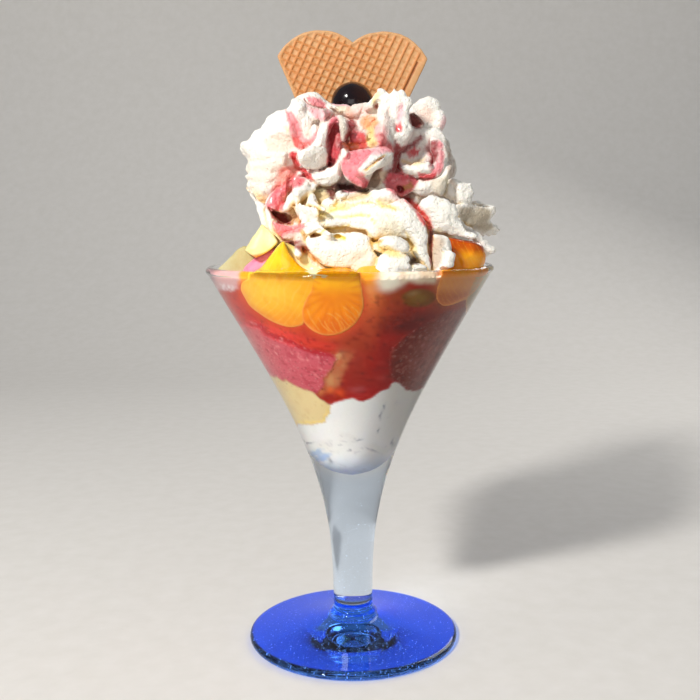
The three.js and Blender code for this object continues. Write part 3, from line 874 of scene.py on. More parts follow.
def contents_colour(P, kind):
    """Colour of the layers and the sauce at points P, as it lies against the glass."""
    x, y, z = P.T
    ym = -np.abs(y + 2) - 2
    u, v, s = proj(x, np.where(y < 0, y, ym), z)
    back_side = step(-2, 14, y)
    wob = 1.3 * vnoise(P, 5.0, 31) + 0.9 * vnoise(P, 2.2, 32)
    uw, vw = u + wob * 1.3 + 3 * back_side * vnoise(P, 18, 33), v + 1.2 * vnoise(P, 3.5, 34) + 0.7 * vnoise(P, 1.6, 35) + 4 * back_side * vnoise(P, 22, 36)
    d = {k: sd_poly(uw, vw, np.array(p, float)) for k, p in LAYERS.items()}
    n1, n2, n3 = vnoise(P, 9, 41), vnoise(P, 3.2, 42), vnoise(P, 1.3, 43)
    # sauce and juice
    col = np.tile(lin((160, 24, 10)), (len(P), 1))
    col = paint(col, 0.5 + 0.5 * n1, (176, 32, 16))
    # salmon where the juice thins it, under and beside the fruit
    col = paint(col, 0.85 * step(374, 350, u) * step(312, 330, v) * step(352, 330, v), (196, 58, 34))
    col = paint(col, 0.9 * soft(u, v, 372, 296, 14, 24), (250, 128, 60))
    col = paint(col, 0.9 * soft(u, v, 369, 288, 9, 12), (255, 160, 84))
    col = paint(col, 0.8 * soft(u, v, 371, 322, 12, 16), (216, 88, 44))
    col = paint(col, 0.85 * soft(u, v, 352, 343, 18, 12), (172, 66, 30))
    col = paint(col, 0.8 * soft(u, v, 356, 362, 12, 18, 8), (160, 44, 26))
    col = paint(col, 0.85 * soft(u, v, 396, 296, 15, 17), (164, 66, 18))
    col = paint(col, 0.7 * soft(u, v, 384, 314, 8, 12), (186, 78, 30))
    # bright and dark reds
    col = paint(col, 0.95 * soft(u, v, 384, 350, 9, 36, 6), (150, 12, 4))
    col = paint(col, 0.8 * soft(u, v, 378, 366, 10, 12), (172, 20, 10))
    col = paint(col, 0.6 * soft(u, v, 392, 336, 12, 8), (190, 26, 10))
    col = paint(col, 0.95 * soft(u, v, 414, 319, 38, 9, -10), (118, 24, 10))
    col = paint(col, 0.9 * soft(u, v, 404, 326, 18, 6), (112, 10, 4))
    col = paint(col, 0.95 * soft(u, v, 366, 391, 24, 7, -20), (182, 10, 6))
    # left: red juice over the scoop, brightest along its top
    col = paint(col, 0.9 * soft(u, v, 240, 302, 28, 16, 35), (206, 62, 44))
    col = paint(col, 0.8 * soft(u, v, 224, 292, 9, 10, 55), (200, 84, 66))
    col = paint(col, 0.9 * soft(u, v, 250, 314, 16, 4, 35), (196, 26, 26))
    col = paint(col, 0.9 * soft(u, v, 284, 331, 28, 5, 22), (236, 66, 58))
    col = paint(col, 0.85 * soft(u, v, 318, 343, 22, 5, 10), (222, 60, 42))
    # right: orange, tan and mauve behind the glass
    grape = np.hypot((u - 417 + 0.2 * (v - 297)) / 16.5, (v - 296.5) / 9.0)
    col = paint(col, 0.95 * soft(u, v, 443, 300, 18, 9), (158, 62, 30))
    col = paint(col, 0.95 * soft(u, v, 456, 287, 24, 11, -20), (214, 122, 52))
    col = paint(col, 0.9 * soft(u, v, 448, 283, 12, 7), (234, 158, 92))
    col = paint(col, 0.85 * soft(u, v, 474, 296, 6, 16, 18), (162, 126, 74))
    col = paint(col, 0.95 * step(1.15, 0.85, grape), (128, 78, 8))
    col = paint(col, 0.8 * step(0.8, 0.2, grape), (150, 106, 30))
    col = paint(col, 0.6 * soft(u, v, 412, 292, 6, 2.5, -15), (190, 150, 90))
    # just under the rim: fruit, then the cream's foot, then fruit again
    top = step(287, 281, v + 2.0 * n2)
    col = paint(col, 0.95 * top * step(400, 372, u), (255, 158, 36))
    col = paint(col, 0.97 * soft(uw, vw, 390, 280, 14, 10, -20, 2), (254, 248, 226))
    col = paint(col, 0.92 * step(285, 279, vw) * step(398, 403, u) * step(438, 432, u), (234, 214, 184))
    col = paint(col, 0.8 * soft(uw, vw, 413, 276, 8, 3, 0, 2), (250, 240, 220))
    col = paint(col, 0.8 * step(284, 278, vw) * step(434, 440, u), (240, 176, 110))
    left = step(246, 238, u + 2 * n2)
    col = paint(col, 0.9 * step(289.5, 285.5, v + 0.10 * (u - 230) + 2.2 * n2) * left, (214, 172, 176))
    col = paint(col, 0.8 * soft(uw, vw, 231, 285, 9, 3, 14, 2) * step(-0.5, 0.3, n3), (246, 232, 232))
    col = paint(col, 0.8 * step(222, 214, u) * step(292, 284, v), (132, 96, 112))
    # tan streak beside the left scoop, orange spots and pale ghosts low in the sauce
    mid = np.interp(v, [345, 352, 362, 369, 376, 384], [345, 343, 341, 338, 333, 330])
    tan = step(11.5, 3.0, np.abs(uw + 3.5 * n2 + 2 * n3 - mid)) * step(342, 358, v + 3 * n2) * step(391, 380, v + 2 * n2)
    col = paint(col, 0.72 * tan, (204, 128, 82))
    col = paint(col, 0.7 * tan * step(0.0, 0.6, n2 + 0.4 * n3), (222, 168, 116))
    col = paint(col, 0.7 * soft(uw, vw, 333, 379, 5, 6), (218, 164, 106))
    col = paint(col, 0.9 * soft(uw, vw, 340, 391, 5, 4), (230, 78, 20))
    col = paint(col, 0.8 * soft(uw, vw, 331, 388, 4, 3), (240, 120, 50))
    col = paint(col, 0.7 * soft(uw, vw, 322, 389, 4, 4), (222, 130, 70))
    col = paint(col, 0.6 * soft(uw, vw, 357, 388, 7, 4), (190, 84, 86))
    col = paint(col, 0.5 * soft(uw, vw, 380, 376, 4, 3), (214, 70, 60))
    for cx, cy, rr in ((378, 334, 1.6), (401, 325, 1.5), (394, 371, 1.7), (345, 330, 1.2), (428, 329, 1.6), (384, 343, 1.3), (390, 349, 1.2), (349, 342, 1.0), (412, 350, 1.0),
                       (371, 357, 1.2), (362, 372, 1.4), (388, 360, 1.3), (397, 316, 1.2), (421, 318, 1.2)):
        col = paint(col, 0.9 * soft(u, v, cx, cy, rr, rr * 0.8), (74, 8, 6))
    col = paint(col, 0.45 * step(0.30, 0.7, n3) * step(286, 300, v), (112, 8, 6))
    col = paint(col, 0.30 * step(0.35, 0.75, -n3) * step(286, 300, v), (214, 64, 44))
    # the fruit's juice glows into what is round it
    near = np.minimum(sd_poly(u, v, np.array(PEACH, float)), sd_poly(u, v, np.array(MANDARIN, float)))
    col = paint(col, 0.75 * step(8, -1, near + 1.5 * n2) * step(276, 284, v), (226, 84, 34))
    # left scoop: pink with darker flecks, a bright red seam along its top
    cl = np.tile(lin((212, 92, 104)), (len(P), 1))
    cl = paint(cl, 0.6 * step(290, 250, u), (204, 108, 106))
    cl = paint(cl, 0.5 * step(312, 335, u), (206, 78, 88))
    seam = -d["left"]
    cl = paint(cl, 0.95 * step(8, 3, seam) * step(334, 318, u + 0.4 * (v - 340)) * step(0, 1, 346 - v + 6 * n2), (232, 62, 66))
    cl = paint(cl, 0.9 * step(3.2, 1.0, np.abs(seam - 1.5)) * (v < 356), (188, 22, 34))
    cl = paint(cl, 0.5 * step(0.15, 0.7, n2), (190, 54, 70))
    cl = paint(cl, 0.45 * step(0.30, 0.65, n3 * 0.75 + 0.25 * n2), (170, 36, 52))
    cl = paint(cl, 0.55 * step(0.35, 0.7, -n3 * 0.75 + 0.3 * n1), (240, 160, 158))
    wl = step(1.4, -1.4, d["left"])
    # vanilla
    cv = np.tile(lin((240, 216, 158)), (len(P), 1))
    cv = paint(cv, 0.7 * step(296, 276, u), (226, 204, 156))
    cv = paint(cv, 0.8 * step(5, 1, -d["vanilla"]) * step(402, 410, v), (252, 224, 132))
    cv = paint(cv, 0.35 * step(0.1, 0.8, n2), (230, 198, 140))
    cv = paint(cv, 0.6 * soft(u, v, 300, 380, 14, 4, 25), (234, 180, 140))
    cv = paint(cv, 0.25 * step(0.4, 0.7, n3), (214, 176, 116))
    wv = step(1.3, -1.3, d["vanilla"])
    # white, greyer towards the right by painted shade
    cw = np.tile(lin((255, 254, 249)), (len(P), 1))
    cw = paint(cw, 0.8 * step(370, 398, u), (226, 222, 212))
    cw = paint(cw, 0.5 * step(395, 425, u), (206, 200, 192))
    cw = paint(cw, 0.6 * step(446, 462, v), (214, 224, 242))
    cw = paint(cw, 0.4 * step(316, 300, u), (220, 224, 232))
    cw = paint(cw, 0.22 * step(0.25, 0.9, n1 + 0.4 * n2), (222, 216, 204))
    hole = np.minimum(np.hypot((uw - 329) / 6.0, (vw - 451.5) / 3.6), np.hypot((uw - 325) / 3.0, (vw - 447) / 3.2))
    cw = paint(cw, 0.75 * step(1.25, 0.55, hole + 0.35 * n3), (158, 190, 234))
    for cx, cy, rx, ry, an in ((318, 437.5, 2.5, 0.8, 0), (316, 445, 3.0, 0.7, 40), (384, 438, 0.8, 4, 20), (369, 446, 4, 0.8, 25), (358, 437, 2.4, 0.7, -20), (334, 456, 1.4, 3, -20),
                               (379, 412, 0.8, 4, 22), (383, 404, 0.7, 3, 10), (349, 447, 2.0, 0.7, -30), (341, 441, 1.4, 0.6, 10), (375, 427, 0.7, 2.4, 15), (310, 432, 1.6, 0.6, 30)):
        cw = paint(cw, 0.75 * soft(uw, vw, cx, cy, rx, ry, an), (128, 132, 144))
    cw = paint(cw, 0.30 * step(0.45, 0.75, n3 * step(-0.2, 0.4, n1)), (196, 196, 200))
    ww = step(1.1, -1.1, d["white"])
    # right scoop: dusky mauve, its dark tone partly painted shade, redder towards the sauce, frosted at the wall's edge
    cr = np.tile(lin((150, 66, 54)), (len(P), 1))
    cr = paint(cr, step(20, 2, -d["right"] - 0.18 * (v - 330)) * 0.92, (126, 34, 18))
    cr = paint(cr, 0.7 * step(408, 446, u - (v - 350) * -0.45), (166, 96, 84))
    cr = paint(cr, 0.7 * soft(u, v, 446, 318, 16, 8), (142, 62, 52))
    cr = paint(cr, 0.55 * step(0.15, 0.7, n2), (112, 38, 26))
    cr = paint(cr, 0.5 * step(0.35, 0.7, n3), (92, 26, 16))
    cr = paint(cr, 0.5 * step(0.25, 0.7, -n3), (188, 112, 98))
    wr = step(3.6, -3.6, d["right"] + 1.5 * n2)
    for c, w in ((cr, wr), (cl, wl), (cv, wv), (cw, ww)):
        col = col * (1 - w[:, None]) + c * w[:, None]
    # red bleeding along the top of the white ice
    near = step(3.2, 0, np.abs(d["white"])) * step(330, 336, u) * step(400, 392, u) * (1 - ww)
    col = paint(col, 0.5 * near, (205, 40, 40))
    return col


def contents_material(name, rough, bump_mm, sss, grain=900, specks=0.0):
    m = Mat(name)
    n = m.noise(grain, 4, 0.6)
    c = m.mix(m.range(n, 0.3, 0.7, 0, 0.5), m.attr("tint"), m.mix(0.5, m.attr("tint"), (0.9, 0.9, 0.9), "MULTIPLY"))
    if specks:
        # seeds and ice crystals
        c = m.mix(m.range(m.voronoi(520), 0.12, 0.30, specks, 0.0), c, m.mix(1.0, c, (0.40, 0.22, 0.22), "MULTIPLY"))
        c = m.mix(m.range(m.voronoi(640), 0.10, 0.24, 0.5 * specks, 0.0), c, (0.90, 0.74, 0.70))
    m.set(Base_Color=c, Roughness=rough, Subsurface_Weight=sss, Subsurface_Radius=(1.0, 0.5, 0.35), Subsurface_Scale=1.2 * MM,
          Specular_IOR_Level=0.05)
    m.bump((m.noise(260, 3), bump_mm, 0.5), (n, bump_mm * 0.4, 0.5))
    return m.m


def region(g, key, into):
    """Signed distance of a layer, from its outline carried through the bowl."""
    X, Y, Z = g.all()
    y = np.where(Y < 0, Y, -np.abs(Y + 2) - 2)
    u, v, s = proj(X, y, Z)
    return sd_poly(u, v, catmull(LAYERS[key], 2, True)) / 2.28


SHAPES = {
    "ice_cream_white": ("white", (-45, -45, 77), (45, 45, 127), 0.40, "white_ice"),
    "ice_cream_vanilla": ("vanilla", (-48, -48, 93), (4, 48, 134), 0.43, "vanilla_ice"),
    "ice_cream_strawberry_left": ("left", (-58, -58, 110), (6, 58, 163), 0.46, "strawberry_ice"),
    "ice_cream_strawberry_right": ("right", (0, -58, 106), (58, 58, 163), 0.49, "mauve_ice"),
}


def build_contents():
    mats = {"white_ice": contents_material("white_ice", 0.45, 0.25, 0.25), "vanilla_ice": contents_material("vanilla_ice", 0.45, 0.2, 0.25),
            "strawberry_ice": contents_material("strawberry_ice", 0.5, 0.35, 0.1, specks=0.45), "mauve_ice": contents_material("mauve_ice", 0.5, 0.4, 0.08, specks=0.32)}
    for node, (key, lo, hi, into, slot) in SHAPES.items():
        g = Field(lo, hi, 0.9)
        d = region(g, key, into) - 1.3
        X, Y, Z = g.all()
        g.S = np.maximum(d.astype(F32), wall_sd(X, Y, Z, into).astype(F32))
        if key in ("left", "right"):
            g.S = smax(g.S, (Z - 158.5 - 1.2 * np.sin(0.09 * Y + 0.07 * X)).astype(F32), 1.0)
        V, Q = g.mesh()
        make(node.replace("ice_cream", "ice"), V, Q, mats[slot], node, {"tint": contents_colour(V, key)})
    g = Field((-62, -62, 95), (62, 62, 171), 0.85)
    X, Y, Z = g.all()
    # the juice is drawn up the front of the bowl by the fruit
    az = np.degrees(np.arctan2(X, -Y))
    up = 3.4 * step(88, 66, np.abs(az)) * step(44, 50, np.hypot(X, Y))
    top = LEVEL + up + 0.35 * np.sin(0.21 * X + 1) * np.sin(0.17 * Y)
    wall = wall_sd(X, Y, Z, 0.37).astype(F32)
    S = np.maximum(wall, (Z - top).astype(F32))
    for key in ("white", "vanilla", "left", "right"):
        S = np.maximum(S, (-region(g, key, 0) - 1.5).astype(F32))
    # over the scoops there is sauce
    lid = np.maximum(wall, np.maximum(Z - top, 156.5 - Z + 0 * X).astype(F32))
    g.S = np.minimum(S, lid).astype(F32)
    V, Q = g.mesh()
    m = Mat("red_sauce")
    n = m.noise(500, 4, 0.6)
    m.set(Base_Color=m.mix(m.range(n, 0.3, 0.7, 0, 0.35), m.attr("tint"), m.mix(0.5, m.attr("tint"), (0.8, 0.7, 0.7), "MULTIPLY")), Roughness=0.3,
          Subsurface_Weight=0.1, Subsurface_Radius=(1.0, 0.25, 0.12), Subsurface_Scale=1.5 * MM, Specular_IOR_Level=0.05)
    m.bump((m.noise(180, 3), 0.15, 0.4))
    make("sauce_in_bowl", V, Q, m.m, "strawberry_sauce", {"tint": contents_colour(V, "sauce")})


# ------------------------------------------------------------------ fruit
def wall_limit(g, into, upto=168.4):
    """Keeps a piece inside the bowl: up to the rim it may touch the wall."""
    X, Y, Z = g.all()
    w = wall_sd(X, Y, Z, into)
    w = np.where(Z > upto, w - (Z - upto) * 0.9, w)
    g.S = smax(g.S, w.astype(F32), 0.3).astype(F32)


def box_of(poly, ya, yb, pad=3):
    P = np.array(poly, float)
    C = np.array([at(u, v, y) for u in (P[:, 0].min(), P[:, 0].max()) for v in (P[:, 1].min(), P[:, 1].max()) for y in (ya, yb)])
    return C.min(0) - pad, C.max(0) + pad


FRUIT_MATS = {}


def fruit_material(slot, fibre, rough=0.22, sss=0.5, radius=(1.0, 0.45, 0.12), depth=4.0, bump=0.25):
    """Wet fruit flesh: stretched fibres and sacs in the flesh, a thin shine of syrup."""
    if slot in FRUIT_MATS:
        return FRUIT_MATS[slot]
    m = Mat(slot)
    f = m.noise(1.0, 4, 0.6, m.scaled(*fibre))
    v = m.voronoi(1.0, coord=m.scaled(*(0.6 * a for a in fibre)))
    c = m.mix(m.range(f, 0.35, 0.7, 0, 0.55), m.attr("tint"), m.mix(1.0, m.attr("tint"), (0.93, 0.80, 0.62), "MULTIPLY"))
    c = m.mix(m.range(v, 0.0, 0.5, 0.22, 0.0), c, m.mix(1.0, m.attr("tint"), (1.15, 1.12, 1.05), "MULTIPLY"))
    m.set(Base_Color=c, Roughness=rough, Subsurface_Weight=m.range(m.attr("free", "Fac"), 0, 1, 0.04, sss), Subsurface_Radius=radius, Subsurface_Scale=depth * MM,
          Coat_Weight=m.attr("wet", "Fac"), Coat_Roughness=0.08, Specular_IOR_Level=0.12)
    m.bump((f, bump, 0.5), (m.noise(700, 3), 0.06, 0.4))
    FRUIT_MATS[slot] = m.m
    return m.m


def lines(u, v, segs, width):
    """How near (u, v) is to any of these lines, 1 on a line."""
    best = np.full(u.shape, 1e9)
    for pts in segs:
        P = catmull(pts, 4, False)
        for (ax, ay), (bx, by) in zip(P[:-1], P[1:]):
            ex, ey = bx - ax, by - ay
            t = np.clip(((u - ax) * ex + (v - ay) * ey) / (ex * ex + ey * ey + 1e-9), 0, 1)
            best = np.minimum(best, (u - ax - ex * t) ** 2 + (v - ay - ey * t) ** 2)
    return np.exp(-best / width ** 2)


PEACH = [(283, 241), (286, 246), (289, 253), (296, 262), (304, 269), (313, 275), (320, 282), (322, 288), (317, 294), (312, 300), (308, 311), (305, 322), (300, 325), (291, 326), (280, 323),
         (270, 318), (260, 311), (252, 304), (247, 296), (243, 288), (244, 281), (250, 276), (257, 271), (264, 264), (270, 256), (277, 247)]
MANDARIN = [(311, 288), (313, 278), (320, 270), (334, 268), (348, 268), (357, 272), (361, 282), (363, 293), (364, 304), (361, 314), (355, 323), (346, 330), (335, 334), (324, 334),
            (314, 330), (306, 323), (302, 314), (303, 304), (307, 295)]
CRESCENT = [(283, 241), (292, 245), (302, 250), (312, 256), (322, 262), (334, 266), (350, 268), (353, 273), (345, 277), (330, 278), (314, 279), (304, 274), (294, 266), (287, 256)]
APPLE = [(261, 225.2), (262.6, 224.4), (267, 228.5), (272, 233), (277, 240), (277.6, 243), (272, 249), (264, 254), (257, 257.6), (255.4, 257.6), (250, 254.4), (245.4, 251), (245.4, 249.4), (249, 243), (255, 234)]
PEAR_L = [(217, 271), (224, 263), (231, 256), (238, 249), (245, 246), (249, 249), (255, 256), (256, 262), (250, 271), (244, 275), (234, 277), (224, 276)]
PINK_BIT = [(250, 262), (258, 255), (268, 250), (276, 248), (280, 256), (274, 266), (266, 276), (252, 280), (242, 278), (244, 268)]
MAND_R = [(444, 240), (452, 238), (466, 240), (478, 242), (484, 248), (486, 258), (482, 270), (476, 284), (464, 296), (450, 303), (440, 304), (434, 296), (436, 284), (441, 272), (444, 258)]
MELON = [(474, 270), (482, 266), (489, 270), (488, 282), (480, 298), (470, 312), (463, 312), (462, 300), (466, 286)]


def shaped_fruit(name, node, slot, poly, y0, mat, colour, into=0.53, wall="low", h=0.5, wet=0.6, **kw):
    th = kw.get("thick", 12)
    tilt = abs(kw.get("gz", 0)) * (max(p[1] for p in poly) - min(p[1] for p in poly)) / 4.4 + abs(kw.get("gx", 0)) * (max(p[0] for p in poly) - min(p[0] for p in poly)) / 4.4
    lo, hi = box_of(poly, y0 - kw.get("bulge", 3) - tilt - 2, y0 + th + tilt + 2)
    lo[1] = min(lo[1], -60)
    g = Field(lo, hi, h)
    patch(g, poly, y0, k=0.0, **kw)
    if wall == "low":
        # the part behind the glass reaches the wall
        under = [(a, max(b, 271.0)) for a, b in poly]
        patch(g, under, y0 - 18, k=2.0, gx=kw.get("gx", 0), gz=kw.get("gz", 0), bulge=0, thick=kw.get("thick", 12) + 18, r=1.6)
    if wall:
        wall_limit(g, into)
    V, Q = g.mesh()
    N = normals(V, Q)
    V = V + N * (0.18 * fbm(V, 5.0, 71 + len(name), 2) * step(166.5, 170, V[:, 2]))[:, None]
    u, v, s = proj(*V.T)
    tint = colour(V, u, v, N)
    # below the rim the outline sinks into the juice
    e = -sd_poly(u + 1.5 * vnoise(V, 3.5, 99), v, catmull(poly, 3, True))
    w = (step(5.0, 1.5, e) * step(168.5, 165, V[:, 2]) * 0.35)[:, None]
    tint = tint * (1 - w) + lin((244, 140, 56)) * w
    w = (step(2.2, 0.6, e) * step(168.5, 165, V[:, 2]) * 0.55)[:, None]
    tint = tint * (1 - w) + lin((255, 176, 92)) * w
    return make(name, V, Q, mat, node, {"tint": tint, "wet": wet * step(167.5, 170.5, V[:, 2]), "free": step(165, 170, V[:, 2])})


def build_fruit():
    peach_m = fruit_material("peach", (160, 420, 160))
    mand_m = fruit_material("mandarin", (320, 320, 150), sss=0.55, radius=(1.0, 0.35, 0.05))
    pear_m = fruit_material("pear", (500, 500, 500), rough=0.3, sss=0.4, radius=(1.0, 0.8, 0.5), depth=3, bump=0.12)
    apple_m = fruit_material("apple", (420, 420, 300), rough=0.3, sss=0.4, radius=(1.0, 0.8, 0.45), depth=3, bump=0.15)
    melon_m = fruit_material("melon", (300, 300, 300), rough=0.3, sss=0.4, radius=(0.9, 0.9, 0.5), depth=3, bump=0.1)
    grape_m = fruit_material("grape", (200, 200, 500), rough=0.15, sss=0.5, radius=(0.8, 0.8, 0.3), depth=4, bump=0.08)

    def peach_c(V, u, v, N):
        c = np.tile(lin((255, 186, 40)), (len(V), 1))
        c = paint(c, 0.95 * step(276, 262, v), (255, 216, 46))
        c = paint(c, 0.95 * step(286, 291, u) * step(279, 272, v), (254, 190, 4))
        c = paint(c, 0.6 * soft(u, v, 262, 268, 8, 7, -40), (255, 224, 96))
        c = paint(c, 0.85 * soft(u, v, 270, 290, 24, 12, 10), (255, 208, 70))
        c = paint(c, 0.7 * step(9, 2, -sd_poly(u, v, np.array(PEACH, float))) * step(272, 282, v), (250, 178, 60))
        c = paint(c, 0.8 * step(304, 318, v), (248, 152, 28))
        c = paint(c, 0.7 * soft(u, v, 250, 287, 6, 10), (252, 200, 74))
        c = paint(c, 0.7 * soft(u, v, 306, 290, 8, 16), (255, 184, 30))
        fib = np.abs(np.sin((u + 0.5 * v) * 0.42 + 2.0 * vnoise(V, 7, 50)))
        c = paint(c, 0.25 * step(0.35, 0.0, fib), (255, 224, 120))
        return paint(c, 0.25 * step(0.1, 0.8, vnoise(V, 3.0, 51)), (246, 150, 24))

    def mand_c(V, u, v, N):
        c = np.tile(lin((255, 142, 0)), (len(V), 1))
        c = paint(c, 0.95 * step(300, 280, v), (255, 182, 10))
        c = paint(c, 0.9 * step(308, 328, v), (240, 108, 0))
        c = paint(c, 0.8 * soft(u, v, 314, 306, 7, 16), (255, 160, 14))
        c = paint(c, 0.5 * soft(u, v, 340, 300, 12, 10), (255, 150, 0))
        # the sacs show as pale threads that fan out towards the lower edge
        segs = [[(328, 312), (334, 315), (339, 321), (343, 329)], [(332, 321), (334, 326), (337, 331)], [(341, 320), (345, 327), (341, 332)], [(346, 313), (351, 317), (356, 322)],
                [(319, 317), (323, 324), (330, 330)], [(352, 306), (357, 310), (360, 317)], [(311, 317), (316, 324), (320, 329)], [(336, 312), (341, 316), (348, 324)],
                [(325, 320), (328, 326), (333, 331)], [(344, 306), (352, 312), (358, 320)], [(350, 324), (347, 328)], [(308, 308), (311, 316), (315, 322)]]
        c = paint(c, 0.5 * lines(u, v, segs, 0.6), (255, 196, 84))
        ang = np.degrees(np.arctan2(v - 290, u - 334))
        ray = np.abs(np.sin(np.radians(ang * 9 + 30 * vnoise(V, 6, 53))))
        c = paint(c, 0.40 * step(0.25, 0.0, ray) * step(8, 20, np.hypot(u - 334, v - 290)), (255, 178, 50))
        c = paint(c, 0.35 * step(0.8, 1.0, ray) * step(10, 22, np.hypot(u - 334, v - 290)), (232, 104, 0))
        return paint(c, 0.3 * step(0.1, 0.8, vnoise(V, 2.2, 52)), (240, 122, 2))

    shaped_fruit("peach_slice", "peach_slice_front", "peach", PEACH, -42.0, peach_m, peach_c, gx=-0.42, gz=-0.30, bulge=6, bw=6, thick=12, r=1.4)
    shaped_fruit("mandarin_segment", "mandarin_segment_front", "mandarin", MANDARIN, -46.0, mand_m, mand_c, into=0.57, gz=-0.45, bulge=9, bw=7, thick=9, r=3.0)

    def cres_c(V, u, v, N):
        c = np.tile(lin((255, 244, 196)), (len(V), 1))
        c = paint(c, 0.7 * step(318, 338, u), (255, 236, 150))
        c = paint(c, 0.8 * step(254, 247, v) * step(298, 290, u), (252, 226, 110))
        c = paint(c, 0.3 * step(4, 1, -sd_poly(u, v, np.array(CRESCENT, float))), (250, 226, 150))
        return paint(c, 0.3 * step(0.0, 0.8, vnoise(V, 3.0, 54)), (240, 206, 112))
    shaped_fruit("pear_crescent", "pear_crescent_front", "pear", CRESCENT, -44.0, pear_m, cres_c, gx=-0.20, gz=0.1, bulge=2.5, bw=3, thick=9, r=1.4)

    def apple_c(V, u, v, N):
        c = np.tile(lin((238, 230, 172)), (len(V), 1))
        c = paint(c, 0.8 * step(262, 272, u), (250, 246, 206))
        c = paint(c, 0.85 * step(252.5, 255.5, v + 0.12 * (u - 262)), (206, 132, 66))
        c = paint(c, 0.5 * step(254, 248, u), (236, 226, 170))
        return paint(c, 0.3 * step(0.0, 0.8, vnoise(V, 2.6, 55)), (244, 226, 140))
    shaped_fruit("apple_wedge", "apple_wedge_left", "apple", APPLE, -35.0, apple_m, apple_c, wall=None, wet=0.0, gx=-0.12, gz=0.25, bulge=0.8, bw=1.2, thick=10, r=0.7, rag=0.15, rag_wl=6)

    def pear_c(V, u, v, N):
        c = np.tile(lin((196, 186, 138)), (len(V), 1))
        c = paint(c, 0.7 * step(240, 252, u), (170, 160, 108))
        c = paint(c, 0.5 * step(236, 226, u), (208, 204, 168))
        c = paint(c, 0.9 * step(269, 273, v), (214, 190, 186))
        return paint(c, 0.25 * step(0.0, 0.8, vnoise(V, 2.6, 56)), (208, 194, 146))
    shaped_fruit("pear_slice", "pear_slice_left", "pear", PEAR_L, -25.0, pear_m, pear_c, wall=True, wet=0.0, gx=-0.45, gz=0.15, bulge=0.8, bw=1.2, thick=8, r=0.8, rag=0.15, rag_wl=6)

    def pink_c(V, u, v, N):
        c = np.tile(lin((246, 150, 182)), (len(V), 1))
        c = paint(c, 0.5 * step(0.0, 0.7, vnoise(V, 3.0, 94)), (250, 182, 204))
        return paint(c, 0.5 * step(0.1, 0.8, vnoise(V, 1.4, 95)), (236, 112, 150))
    m = Mat("pink_ice")
    n = m.noise(500, 4, 0.6)
    m.set(Base_Color=m.mix(m.range(n, 0.3, 0.7, 0, 0.5), m.attr("tint"), m.mix(1.0, m.attr("tint"), (0.92, 0.72, 0.80), "MULTIPLY")), Roughness=0.45, Subsurface_Weight=0.3,
          Subsurface_Radius=(1, 0.5, 0.5), Subsurface_Scale=2 * MM)
    m.bump((m.noise(220, 4), 0.6, 0.6), (n, 0.2, 0.5))
    shaped_fruit("pink_scoop", "ice_cream_pink_scoop", "pink_ice", PINK_BIT, -31.0, m.m, pink_c, wall=True, gx=-0.3, gz=0.1, bulge=3, bw=3, thick=18, r=1.5)

    def mr_c(V, u, v, N):
        c = np.tile(lin((255, 156, 8)), (len(V), 1))
        # its top is painted dark orange-brown: painted shadow cast by the cream's fringe above
        c = paint(c, 0.92 * step(257, 250, v + 0.10 * (u - 465)), (190, 70, 2))
        c = paint(c, 0.8 * step(452, 446, u) * step(258, 246, v), (214, 140, 84))
        c = paint(c, 0.8 * soft(u, v, 470, 258, 12, 7, 20), (255, 180, 24))
        c = paint(c, 0.6 * soft(u, v, 460, 266, 6, 10, 20), (255, 172, 30))
        c = paint(c, 0.85 * step(271, 278, v), (236, 156, 88))
        c = paint(c, 0.8 * step(284, 296, v), (196, 92, 34))
        ray = np.abs(np.sin((u - 0.5 * v) * 0.55 + 1.5 * vnoise(V, 5, 57)))
        return paint(c, 0.3 * step(0.3, 0.0, ray), (255, 196, 80))
    shaped_fruit("mandarin_segment_r", "mandarin_segment_right", "mandarin", MAND_R, -31.0, mand_m, mr_c, gx=0.20, gz=-0.25, bulge=5, bw=5, thick=9, r=2.0,
                 ridge=("lin", -20, 5.0, 0.35, 0))

    def mel_c(V, u, v, N):
        c = np.tile(lin((206, 186, 136)), (len(V), 1))
        c = paint(c, 0.7 * step(280, 292, v), (170, 132, 82))
        return paint(c, 0.4 * step(0.0, 0.8, vnoise(V, 2.6, 58)), (186, 160, 104))
    shaped_fruit("melon_slab", "melon_slab_right", "melon", MELON, -16.0, melon_m, mel_c, gx=0.8, gz=-0.3, bulge=3, bw=3, thick=7, r=1.2)

    # the rest lies deeper or round the far side: rounded pieces on the wall
    def blob(name, node, mat, az, z, inset, half, turn, curl, colour, r=None, lean=0.506, square=1.2, h=0.6, into=0.6):
        t = math.radians(az)
        out = np.array([math.sin(t), -math.cos(t), 0.0])
        up_ = out * math.sin(lean) + np.array([0, 0, math.cos(lean)])
        along = np.array([math.cos(t), math.sin(t), 0.0])
        inward = np.cross(up_, along)
        c = out * (r if r else float(wall_r(z))) + np.array([0, 0, z]) + inward * inset
        R = max(half) + 3
        g = Field(c - R, c + R, h)
        X, Y, Z = g.all()
        X, Y, Z = X - c[0], Y - c[1], Z - c[2]
        a = X * along[0] + Y * along[1] + Z * along[2]
        b = X * up_[0] + Y * up_[1] + Z * up_[2]
        w = X * inward[0] + Y * inward[1] + Z * inward[2]
        ct, st = math.cos(math.radians(turn)), math.sin(math.radians(turn))
        a, b = a * ct + b * st, -a * st + b * ct
        a = a - curl * ((b / half[1]) ** 2 - 0.4)
        e = 2 * square
        rho = (np.abs(a / half[0]) ** e + np.abs(b / half[1]) ** e + np.abs(w / half[2]) ** e) ** (1 / e)
        g.S = ((rho - 1) * min(half)).astype(F32)
        wall_limit(g, into)
        V, Q = g.mesh()
        N = normals(V, Q)
        L = V - c
        la, lb = L @ along, L @ up_
        V = V + N * (0.2 * fbm(V, 5.0, 91, 2))[:, None]
        base = np.tile(lin(colour[0]), (len(V), 1))
        base = paint(base, 0.5 * step(-0.1, 0.9, vnoise(V, 4.0, 92)), colour[1])
